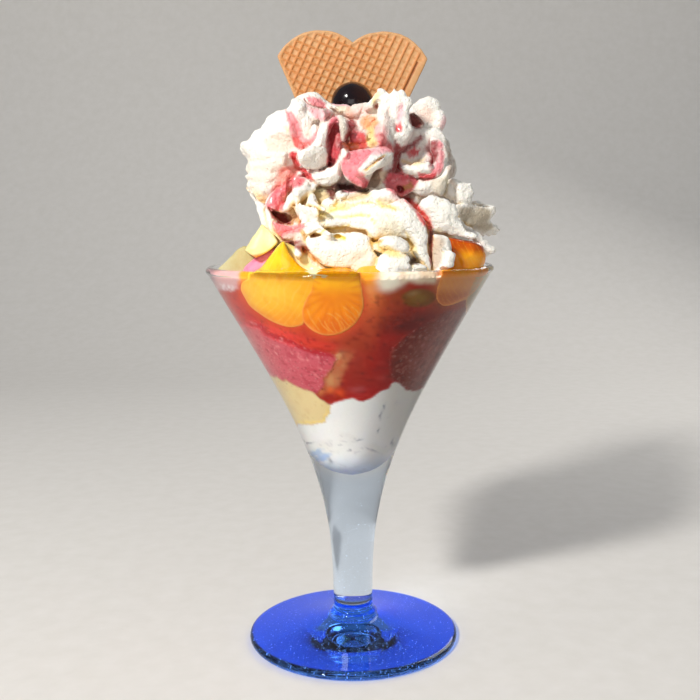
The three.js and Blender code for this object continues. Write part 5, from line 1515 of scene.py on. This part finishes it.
    ([(404, 230), (408, 236), (414, 244), (418, 256), (412, 252), (407, 242)], (246, 220, 140), 0.7, 1.6, 0.3),
    ([(376, 214), (390, 212), (402, 222), (402, 236), (388, 238), (376, 232)], (250, 238, 208), 0.6, 4.0, 0.1),
    ([(354, 252), (366, 248), (372, 254), (372, 268), (358, 272), (352, 266)], (246, 228, 200), 0.7, 2.5, 0.1),
    ([(409, 264), (413, 256), (417, 258), (419, 264)], (92, 50, 24), 0.95, 0.8, 0.3),
    # faces that lie in shade at the right
    ([(460, 207), (472, 206), (484, 208), (492, 211), (488, 220), (494, 227), (486, 232), (474, 229), (464, 223), (458, 214)], (188, 174, 148), 0.85, 2.0, 0.0),
    ([(446, 140), (452, 148), (456, 160), (456, 172), (451, 178), (447, 172), (449, 160), (446, 150)], (190, 170, 154), 0.75, 1.5, 0.0),
    ([(431, 238), (440, 236), (446, 240), (443, 250), (441, 262), (434, 272), (431, 262)], (206, 184, 160), 0.85, 2.0, 0.0),
    # trickle down the right
    ([(402, 196), (408, 197), (416, 202), (423, 210), (429, 218), (433, 227), (430, 231), (425, 226), (419, 217), (412, 208), (404, 201)], (228, 56, 58), 0.95, 1.0, 0.95),
    ([(428.5, 230), (432.5, 230), (432.5, 262), (430.5, 266), (429, 262)], (158, 50, 48), 0.9, 0.7, 0.9),
    ([(390, 196), (398, 194), (404, 198), (402, 204), (394, 202)], (244, 196, 190), 0.6, 2.0, 0.3),
]
# lines of syrup and sauce, and painted shade along creases and in the hole under the tongue
SYRUP_SAUCE_AND_SHADE_LINES = [
    ([(364, 171), (371, 165), (378, 160), (385, 156)], (246, 196, 84), 0.9, 1.0),
    ([(318, 216), (332, 211), (346, 208), (360, 203), (372, 203)], (248, 222, 120), 0.75, 1.3),
    ([(316, 235), (328, 230), (342, 227), (350, 225)], (244, 214, 116), 0.85, 1.0),
    ([(345, 218), (360, 215), (370, 216), (374, 222)], (248, 220, 110), 0.85, 1.1),
    ([(322, 214), (336, 217), (352, 215), (366, 214)], (250, 230, 150), 0.6, 1.6),
    ([(380, 206), (390, 206), (397, 210)], (244, 204, 90), 0.9, 0.9),
    ([(304.5, 98.5), (307, 103), (313, 106.5), (320, 108), (325, 107.5)], (170, 60, 66), 0.9, 0.6),
    ([(350, 189.5), (358, 190.5), (366, 190)], (60, 20, 14), 0.8, 0.8),
    ([(296, 116), (299, 122), (303, 130)], (226, 104, 104), 0.5, 0.7),
    ([(313, 181), (318, 186), (326, 187)], (200, 170, 120), 0.6, 1.0),
    ([(447, 180), (446, 192), (442, 200)], (200, 190, 140), 0.6, 0.8),
]


def near_poly(u, v, poly, soft_px):
    P = np.array(poly, float)
    out = np.zeros(len(u))
    m = (u > P[:, 0].min() - soft_px * 2) & (u < P[:, 0].max() + soft_px * 2) & (v > P[:, 1].min() - soft_px * 2) & (v < P[:, 1].max() + soft_px * 2)
    if m.any():
        out[m] = step(soft_px, -soft_px, sd_poly(u[m], v[m], P))
    return out


def cream_colour(g, V, N):
    x, y, z = V.T
    c2 = 2.0
    back_side = y > c2
    ym = np.where(back_side, 2 * c2 - y, y)
    u, v, s = proj(x, ym, z)
    w1, w2 = vnoise(V, 4.0, 61), vnoise(V, 1.5, 62)
    u, v = u + 1.3 * w1 + 0.7 * w2, v + 1.3 * vnoise(V, 3.6, 63) + 0.7 * vnoise(V, 1.3, 64)
    u = u + np.where(back_side, 6 * vnoise(V, 20, 65), 0)
    v = v + np.where(back_side, 6 * vnoise(V, 20, 66), 0)
    # faces turned well away from the view keep only part of a stain
    facing = np.clip(0.55 + 1.2 * (-N[:, 1] * np.where(back_side, -1, 1)), 0.25, 1)
    facing = np.maximum(facing, 0.8 * (ym < -14))
    col = np.tile(lin((250, 247, 239)), (len(V), 1))
    col = paint(col, 0.35 * step(0.1, 0.9, w1), (244, 238, 224))
    shine = np.zeros(len(V))
    # painted shade in the hollows, by how open each point is: yellow in the skirt's, partly syrup; red in the upper
    # tier's where sauce lies, partly the sauce itself
    def open_(d):
        return np.clip(g.sample(V + N * d) / d, 0, 1)
    ao = 0.5 * open_(1.6) + 0.5 * open_(3.6)
    deep = step(0.80, 0.35, ao)
    low = step(206, 192, z + 0.12 * x)
    col = paint(col, 0.75 * deep * low, (246, 220, 150))
    col = paint(col, 0.5 * step(0.45, 0.12, ao) * low, (232, 184, 110))
    sauced = np.zeros(len(V))
    for cx, cy, rx, ry, an in ((352, 142, 34, 22, 0), (396, 158, 26, 24, 20), (301, 150, 10, 24, -20), (286, 186, 26, 12, -35), (330, 182, 26, 10, 10), (424, 152, 18, 20, 0)):
        sauced = np.maximum(sauced, soft(u, v, cx, cy, rx, ry, an, 1.5))
    sauced = np.where(back_side, step(0.05, 0.35, vnoise(V, 15, 67)), sauced)
    # painted shade in the upper tier's hollows: grey-beige where no sauce lies, pink and dark red where it does
    col = paint(col, 0.6 * deep * (1 - low) * (1 - sauced), (236, 224, 206))
    col = paint(col, 0.7 * deep * (1 - low) * sauced, (240, 172, 168))
    col = paint(col, 0.85 * step(0.52, 0.2, ao) * (1 - low) * sauced, (156, 40, 42))
    for poly, c, strength, sp, gl, *deeper in STAINS_AND_SHADE:
        w = near_poly(u, v, poly, sp) * strength * facing
        if deeper:
            w = w * step(deeper[0] - 1.2, deeper[0] + 0.8, ym)
        w = w * (1 - 0.25 * step(0.2, 0.7, w2) * (strength < 0.97))
        col = paint(col, w, c)
        shine = np.maximum(shine * (1 - w), w * gl)
    for pts, c, strength, wd in SYRUP_SAUCE_AND_SHADE_LINES:
        P = np.array(pts)
        m = (u > P[:, 0].min() - 4) & (u < P[:, 0].max() + 4) & (v > P[:, 1].min() - 4) & (v < P[:, 1].max() + 4)
        w = np.zeros(len(u))
        if m.any():
            w[m] = lines(u[m], v[m], [pts], wd) * strength
        col = paint(col, w * facing, c)
    # pink sauce wanders over the sides and the back too
    side = np.clip(np.abs(x) / 30 - 0.2, 0, 1) * step(-30, -14, y) * step(0.0, 0.45, N[:, 1])
    swirl = vnoise(V * np.array([1, 1, 0.6]), 15, 67) + 0.5 * w1
    w = step(0.30, 0.52, swirl) * np.maximum(side, 0.9 * step(10, 22, y)) * step(250, 236, z) * 0.85
    col = paint(col, w, (244, 140, 146))
    w2_ = step(0.55, 0.7, swirl) * np.maximum(side, 0.9 * step(10, 22, y)) * 0.85
    col = paint(col, w2_, (206, 54, 60))
    shine = np.maximum(shine, 0.6 * w)
    # small flecks in the sauced parts
    pinkness = np.clip((col[:, 0] - col[:, 1]) * 1.6, 0, 1)
    col = paint(col, 0.5 * pinkness * step(0.35, 0.75, vnoise(V, 0.9, 68)), (214, 60, 74))
    col = paint(col, 0.35 * pinkness * step(0.4, 0.8, vnoise(V, 1.1, 69)), (252, 214, 214))
    return col, shine


# how far the mound reaches in the view: what stands behind the front's folds stays inside this
REACH = [(300, 96), (288, 108), (270, 116), (263, 126), (254, 134), (244, 143), (246, 152), (252, 160), (250, 172), (248, 180), (250, 194), (256, 206), (262, 222), (264, 232), (266, 240), (264, 250), (258, 262), (256, 280), (256, 300),
         (490, 300), (488, 262), (480, 248), (470, 236), (476, 226), (470, 212), (470, 194), (462, 184), (452, 178), (454, 166), (450, 152), (445, 140), (440, 130), (444, 120), (438, 108), (428, 100), (418, 104),
         (408, 110), (400, 96), (388, 94), (376, 100), (366, 106), (346, 106), (330, 104), (320, 97), (308, 95)]


def build_cream(h=0.52):
    g = Field((-62, -62, 163.6), (70, 62, 249), h)
    g.ripple(8.0, 21)
    X, Y, Z = g.all()
    g.S[:] = 8
    for c, r in (((0, 3, 212), (33, 27, 26)), ((2, 0, 180), (44, 42, 24))):
        sl, (x, y, z) = g.block(np.array(c) - np.array(r) - 3, np.array(c) + np.array(r) + 3)
        rho = np.sqrt(((x - c[0]) / r[0]) ** 2 + ((y - c[1]) / r[1]) ** 2 + ((z - c[2]) / r[2]) ** 2)
        g.add(sl, (rho - 1) * min(r), 2.0)
    # sides and back
    sweep(g, 80, 280, 38, 175, 17, 13, 10, 7, seed=3, n=6, depth=0.18)
    sweep(g, 86, 274, 31, 196, 17, 12, 10, 6, seed=4, n=6, depth=0.18)
    sweep(g, 88, 272, 21, 214, 16, 11, 9, 5, seed=5, n=6, depth=0.18)
    lower_folds(g, Place(turn=-88, scale=0.80, push=6))
    lower_folds(g, Place(turn=88, scale=0.80, push=6))
    upper_folds(g, Place(turn=-86, scale=0.74, push=11))
    upper_folds(g, Place(turn=86, scale=0.74, push=11))
    back_ = Place(mirror=True, scale=0.93, push=2)
    upper_folds(g, back_)
    lower_folds(g, back_)
    u, v, s = proj(X, Y, Z)
    rim2 = np.full(g.n, 9.0, F32)
    P = catmull(REACH, 2, True)
    us, vs = np.arange(205, 506, 1.0), np.arange(60, 312, 1.0)
    tab = (sd_poly(us[:, None] + 0 * vs[None, :], vs[None, :] + 0 * us[:, None], P) / 2.3).astype(F32)
    iu = np.clip(u - us[0], 0, len(us) - 1.001)
    iv = np.clip(v - vs[0] + 0 * u, 0, len(vs) - 1.001)
    a, b = iu.astype(np.int32), iv.astype(np.int32)
    fa, fb = (iu - a).astype(F32), (iv - b).astype(F32)
    rim2 = (tab[a, b] * (1 - fa) + tab[a + 1, b] * fa) * (1 - fb) + (tab[a, b + 1] * (1 - fa) + tab[a + 1, b + 1] * fa) * fb
    g.S = smax(g.S, rim2 + 0.8, 5.0).astype(F32)
    # between the front's and the back's folds the flanks are one ridged body
    ridges = np.abs(np.sin(0.24 * (Z + 0.7 * Y) + 1.8 * g.wave[0])) ** 1.5
    flank = rim2 + 1.2 + 3.0 * ridges + 2.0 * g.wave[1] + 16.0 * ((Y - 6) / 22) ** 2
    flank = smax(flank, np.abs(Y - 7) - 12.0 - 3.0 * g.wave[0], 8.0)
    flank = smax(flank, Z - 234.0, 4.0)
    g.S = smin(g.S, flank.astype(F32), 4.0).astype(F32)
    del ridges, flank
    # the folds at the sides have slumped into soft swells
    slump = g.S.copy()
    for k in (1, 2, 3, 4):
        for ax in range(3):
            t = np.moveaxis(slump, ax, 0)
            t[k:-k] = 0.5 * t[k:-k] + 0.25 * (t[:-2 * k] + t[2 * k:])
    w = step(22, 32, np.abs(X)) * step(166, 170, Z) * step(44, 34, Y)
    g.S = (g.S * (1 - w) + (slump - 0.5) * w).astype(F32)
    del slump, t, w
    del u, v, s, iu, iv, a, b, fa, fb, rim2
    dig(g, [(322, 50), (378, 50), (374, 98), (368, 104.5), (350, 106), (334, 104), (327, 98)], 12, k=0.3)
    upper_folds(g)
    lower_folds(g)
    # seat on the sauce and inside the rim
    P_r = [58.0, 58.2, 58.3, 66.0, 76.0, 76.0]
    P_z = [160, 166.2, 170.5, 172.6, 186, 260]
    r = np.sqrt(X * X + Y * Y)
    g.S = smax(g.S, ((r - np.interp(Z, P_z, P_r)) * 0.85).astype(F32), 0.5).astype(F32)
    for lo, hi in (((-56, -5, 160), (-39.2, 8, 172.9)), ((-42, 26.2, 160), (-25.2, 38, 172.9))):
        d = np.maximum(np.maximum(np.maximum(lo[0] - X, X - hi[0]), np.maximum(lo[1] - Y, Y - hi[1])), Z - hi[2])
        g.S = smax(g.S, (-d).astype(F32), 1.0).astype(F32)
    g.S = smax(g.S, (165.15 - Z + 0 * X).astype(F32), 0.2).astype(F32)
    V, Q = g.mesh()
    N = normals(V, Q)
    # crumbly skin
    live = step(165.3, 166.5, V[:, 2])
    crumb = 0.5 + 0.5 * vnoise(V, 14, 75)
    ridge = np.clip(1 + g.sample(V - N * 1.3) / 1.3, 0, 1)
    fine = 0.20 * vnoise(V, 1.3, 72) + 0.34 * vnoise(V, 2.6, 73) + 0.50 * vnoise(V, 6.0, 74)
    fine = fine - (0.25 + 0.6 * step(0.55, 0.9, crumb)) * np.maximum(vnoise(V, 1.9, 76) - 0.25, 0)
    fine = fine + 1.4 * ridge * (0.5 * vnoise(V, 1.7, 77) + 0.5 * vnoise(V, 3.4, 78)) * step(0.25, 0.75, 0.5 + 0.5 * vnoise(V, 11, 79))
    # the skirt's sheets are smoother than the tier above
    fine = fine * (1 - 0.5 * step(207, 197, V[:, 2] + 0.1 * V[:, 0]) * step(-18, -28, V[:, 1]) * step(34, 26, V[:, 0]))
    V = V + N * (fine * live)[:, None]
    V, Q = thin_out(V, Q, 196000)
    N = normals(V, Q)
    col, shine = cream_colour(g, V, N)
    m = Mat("whipped_cream")
    n1 = m.noise(560, 4, 0.62)
    n2 = m.noise(1500, 2, 0.6)
    pits = m.voronoi(620)
    sh = m.attr("shine", "Fac")
    base = m.mix(m.range(n1, 0.35, 0.7, 0.0, 0.35), m.attr("tint"), m.mix(1.0, m.attr("tint"), (0.93, 0.91, 0.86), "MULTIPLY"))
    m.set(Base_Color=base, Roughness=m.range(sh, 0, 1, 0.65, 0.28), Subsurface_Weight=0.12, Subsurface_Radius=(1.0, 0.8, 0.6), Subsurface_Scale=1.2 * MM,
          Coat_Weight=m.range(sh, 0.3, 1, 0.0, 0.45), Coat_Roughness=0.12)
    m.bump((n1, 0.9, 1.0), (m.range(pits, 0, 0.4, 0, 1), 0.35, 0.7), (n2, 0.18, 0.7))
    make("cream_mound", V, Q, m.m, "whipped_cream", {"tint": col, "shine": shine})


# ------------------------------------------------------------------ wafer
HW, HH, W_T, W_BORDER = 66.0, 77.0, 3.0, 2.4


def bezier(p0, p1, p2, p3, n):
    t = np.linspace(0, 1, n, endpoint=False)[:, None]
    p0, p1, p2, p3 = map(np.array, (p0, p1, p2, p3))
    return p0 * (1 - t) ** 3 + 3 * p1 * t * (1 - t) ** 2 + 3 * p2 * t * t * (1 - t) + p3 * t ** 3


def heart_outline():
    # lobes end in a corner where the straight sides begin
    arc = catmull([(0.0, 72.4), (2.2, 74.0), (5.8, 75.8), (9.6, 76.8), (14.0, 77.2), (18.0, 76.9), (22.4, 75.6), (25.8, 73.7), (28.3, 71.7), (30.8, 69.2), (32.9, 65.9)], 4, False)
    side = np.array([(31.7, 62.7), (25.2, 48.6), (12.6, 24.3), (1.0, 1.2)])
    half = np.concatenate([arc, side])
    return np.concatenate([half, [(0, 0)], half[1:][::-1] * [-1, 1]])


def build_wafer():
    out = heart_outline()
    h = 0.36
    g = Field((-36, -2.6, -1.5), (36, 2.6, 80), h)
    X, Y, Z = g.all()
    xs, zs = g.ax[0][:, None], g.ax[2][None, :]
    d2 = sd_poly(xs + 0 * zs, zs + 0 * xs, out)
    a1, a2 = math.radians(65.5), math.radians(-21.0)
    p1 = math.cos(a1 - math.pi / 2) * xs + math.sin(a1 - math.pi / 2) * zs
    p2 = math.cos(a2 - math.pi / 2) * xs + math.sin(a2 - math.pi / 2) * zs
    pitch = 3.18
    w1 = np.abs((p1 / pitch) % 1 - 0.5) * pitch
    w2 = np.abs((p2 / pitch) % 1 - 0.5) * pitch
    # distance from the nearest rib's middle; w = 0 on a rib
    # the pattern fades out at the edges; along the right side it ends in a step
    field = step(-0.5, -2.2, d2)
    field = field * np.where((xs > 8) & (zs < 64.5), step(-3.2, -3.6, d2), 1)
    ribs = np.maximum(step(0.62, 0.24, w1), step(0.55, 0.22, w2) * (1 - 0.55 * step(6, 22, xs + 0 * zs)))
    face = W_T / 2 - 0.10 - 0.55 * field * (1 - ribs)
    right = np.abs(d2 + 3.4) + np.where((xs > 8) & (zs < 64.5), 0, 9)
    face = face - 0.55 * step(0.55, 0.15, right)
    face = face + 0.10 * noise2(xs + 0 * zs, zs + 0 * xs, 7.0, 81) + 0.05 * noise2(xs + 0 * zs, zs + 0 * xs, 1.6, 82)
    dface = (np.abs(Y) - face[:, None, :]) * 0.85
    g.S = smax(dface, (d2 + 0.12 * noise2(xs + 0 * zs, zs + 0 * xs, 2.0, 83))[:, None, :], 0.6).astype(F32)
    V, Q = thin_out(*g.mesh(), 90000)
    x, y, z = V.T
    q1 = math.cos(a1 - math.pi / 2) * x + math.sin(a1 - math.pi / 2) * z
    q2 = math.cos(a2 - math.pi / 2) * x + math.sin(a2 - math.pi / 2) * z
    v1 = np.abs((q1 / pitch) % 1 - 0.5) * pitch
    v2 = np.abs((q2 / pitch) % 1 - 0.5) * pitch
    e2 = sd_poly(x, z, out)
    inner = step(-0.6, -2.0, e2) * np.where((x > 8) & (z < 64.5), step(-3.2, -3.7, e2), 1)
    r1, r2 = step(0.75, 0.25, v1) * inner, step(0.65, 0.2, v2) * inner * (1 - 0.5 * step(6, 22, x))
    toast = vnoise(V, 16, 84) * 0.6 + vnoise(V, 5, 85) * 0.4
    # each cell is palest in its middle and has its own tone; the ribs are darker, partly toasting and partly painted
    # shade
    cell = vnoise(np.column_stack([np.floor(q1 / pitch + 0.5), np.floor(q2 / pitch + 0.5), 0 * x]) * 7.7, 4.0, 86)
    col = np.tile(lin((249, 200, 150)), (len(V), 1))
    col = paint(col, 0.6 * step(-0.2, 0.8, cell), (244, 184, 128))
    col = paint(col, 0.85 * np.maximum(r1, r2), (232, 150, 74))
    col = paint(col, 0.4 * step(0.0, 0.8, toast), (238, 160, 96))
    col = paint(col, 0.4 * step(0.0, 0.8, -toast), (250, 210, 168))
    # a dark line along the right side's step: painted shade in that groove
    col = paint(col, 0.8 * step(0.6, 0.2, np.abs(e2 + 3.4)) * ((x > 8) & (z < 64.5)), (176, 98, 42))
    edge = step(1.25, 0.9, np.abs(y))
    col = paint(col, 0.7 * edge * step(-1.4, -0.2, e2), (224, 156, 96))
    col = paint(col, 0.5 * step(42, 32, z), (252, 214, 190))
    col = col * np.array([0.69, 0.64, 0.55])
    V2 = np.column_stack([x, y, z])
    lean = -0.03
    c, s = math.cos(-lean), math.sin(-lean)
    # rotateY(-lean) then set in place
    Vw = np.column_stack([V2[:, 0] * c + V2[:, 2] * s, V2[:, 1], -V2[:, 0] * s + V2[:, 2] * c]) + np.array([0.2, 14.0, 194.0])
    m = Mat("wafer")
    n = m.noise(700, 4, 0.65)
    n3 = m.noise(160, 3, 0.6)
    base = m.mix(m.range(n, 0.35, 0.7, 0, 0.5), m.attr("tint"), m.mix(1.0, m.attr("tint"), (0.86, 0.76, 0.62), "MULTIPLY"))
    base = m.mix(m.range(n3, 0.5, 0.75, 0, 0.25), base, m.mix(1.0, base, (1.1, 1.08, 1.05), "MULTIPLY"))
    m.set(Base_Color=base, Roughness=0.6, Subsurface_Weight=0.12, Subsurface_Radius=(1.0, 0.5, 0.2), Subsurface_Scale=1.0 * MM, Sheen_Weight=0.08)
    m.bump((n, 0.10, 0.5), (m.voronoi(1100), 0.05, 0.4))
    make("wafer", Vw, Q, m.m, "wafer_heart", {"tint": col})


# ------------------------------------------------------------------ cherry
def build_cherry():
    R, (cx, cy, cz) = 9.1, (1.9, 3.0, 239.3)
    nu, nv = 96, 48
    V, Q = [], []
    for j in range(nv + 1):
        t = math.pi * j / nv
        for i in range(nu):
            a = 2 * math.pi * i / nu
            V.append((math.sin(t) * math.cos(a), math.sin(t) * math.sin(a), math.cos(t)))
    U = np.array(V)
    for j in range(nv):
        for i in range(nu):
            k = (i + 1) % nu
            Q.append((j * nu + i, (j + 1) * nu + i, (j + 1) * nu + k, j * nu + k))
    rad = 1 + 0.012 * fbm(U * 10, 6.0, 87, 2)
    # a soft dent where the stone came out, at the upper right of the back, and faint wrinkles round it
    pit = np.array([0.35, 0.25, 0.90])
    pit /= np.linalg.norm(pit)
    ang = np.arccos(np.clip(U @ pit, -1, 1))
    rad -= 0.11 * np.exp(-(ang / 0.20) ** 2) + 0.010 * np.cos(9 * np.arctan2(U[:, 1], U[:, 0])) * np.exp(-((ang - 0.35) / 0.25) ** 2)
    P = U * rad[:, None] * R * np.array([1, 1, 0.96]) + np.array([cx, cy, cz])
    # the right and upper side painted warmer brown: painted light on that side, with a little random tone
    warm = step(-0.1, 0.9, U[:, 0] * 0.8 + 0.3 * U[:, 2]) * 0.8 + 0.2 * vnoise(P, 4, 88)
    col = np.tile(lin((16, 6, 12)), (len(P), 1))
    col = paint(col, warm, (52, 26, 12))
    m = Mat("dark_cherry")
    n = m.noise(350, 4, 0.6)
    m.set(Base_Color=m.mix(m.range(n, 0.35, 0.7, 0, 0.6), m.attr("tint"), m.mix(1.0, m.attr("tint"), (1.7, 1.2, 1.3), "MULTIPLY")), Roughness=m.range(n, 0.3, 0.7, 0.10, 0.22),
          Specular_IOR_Level=0.35, Coat_Weight=0.25, Coat_Roughness=0.05)
    m.bump((m.noise(260, 3), 0.30, 0.6), (n, 0.10, 0.5))
    make("cherry_dark", P, np.array(Q), m.m, "cherry", {"tint": col})


build_contents()
build_fruit()
build_cream()
build_wafer()
build_cherry()
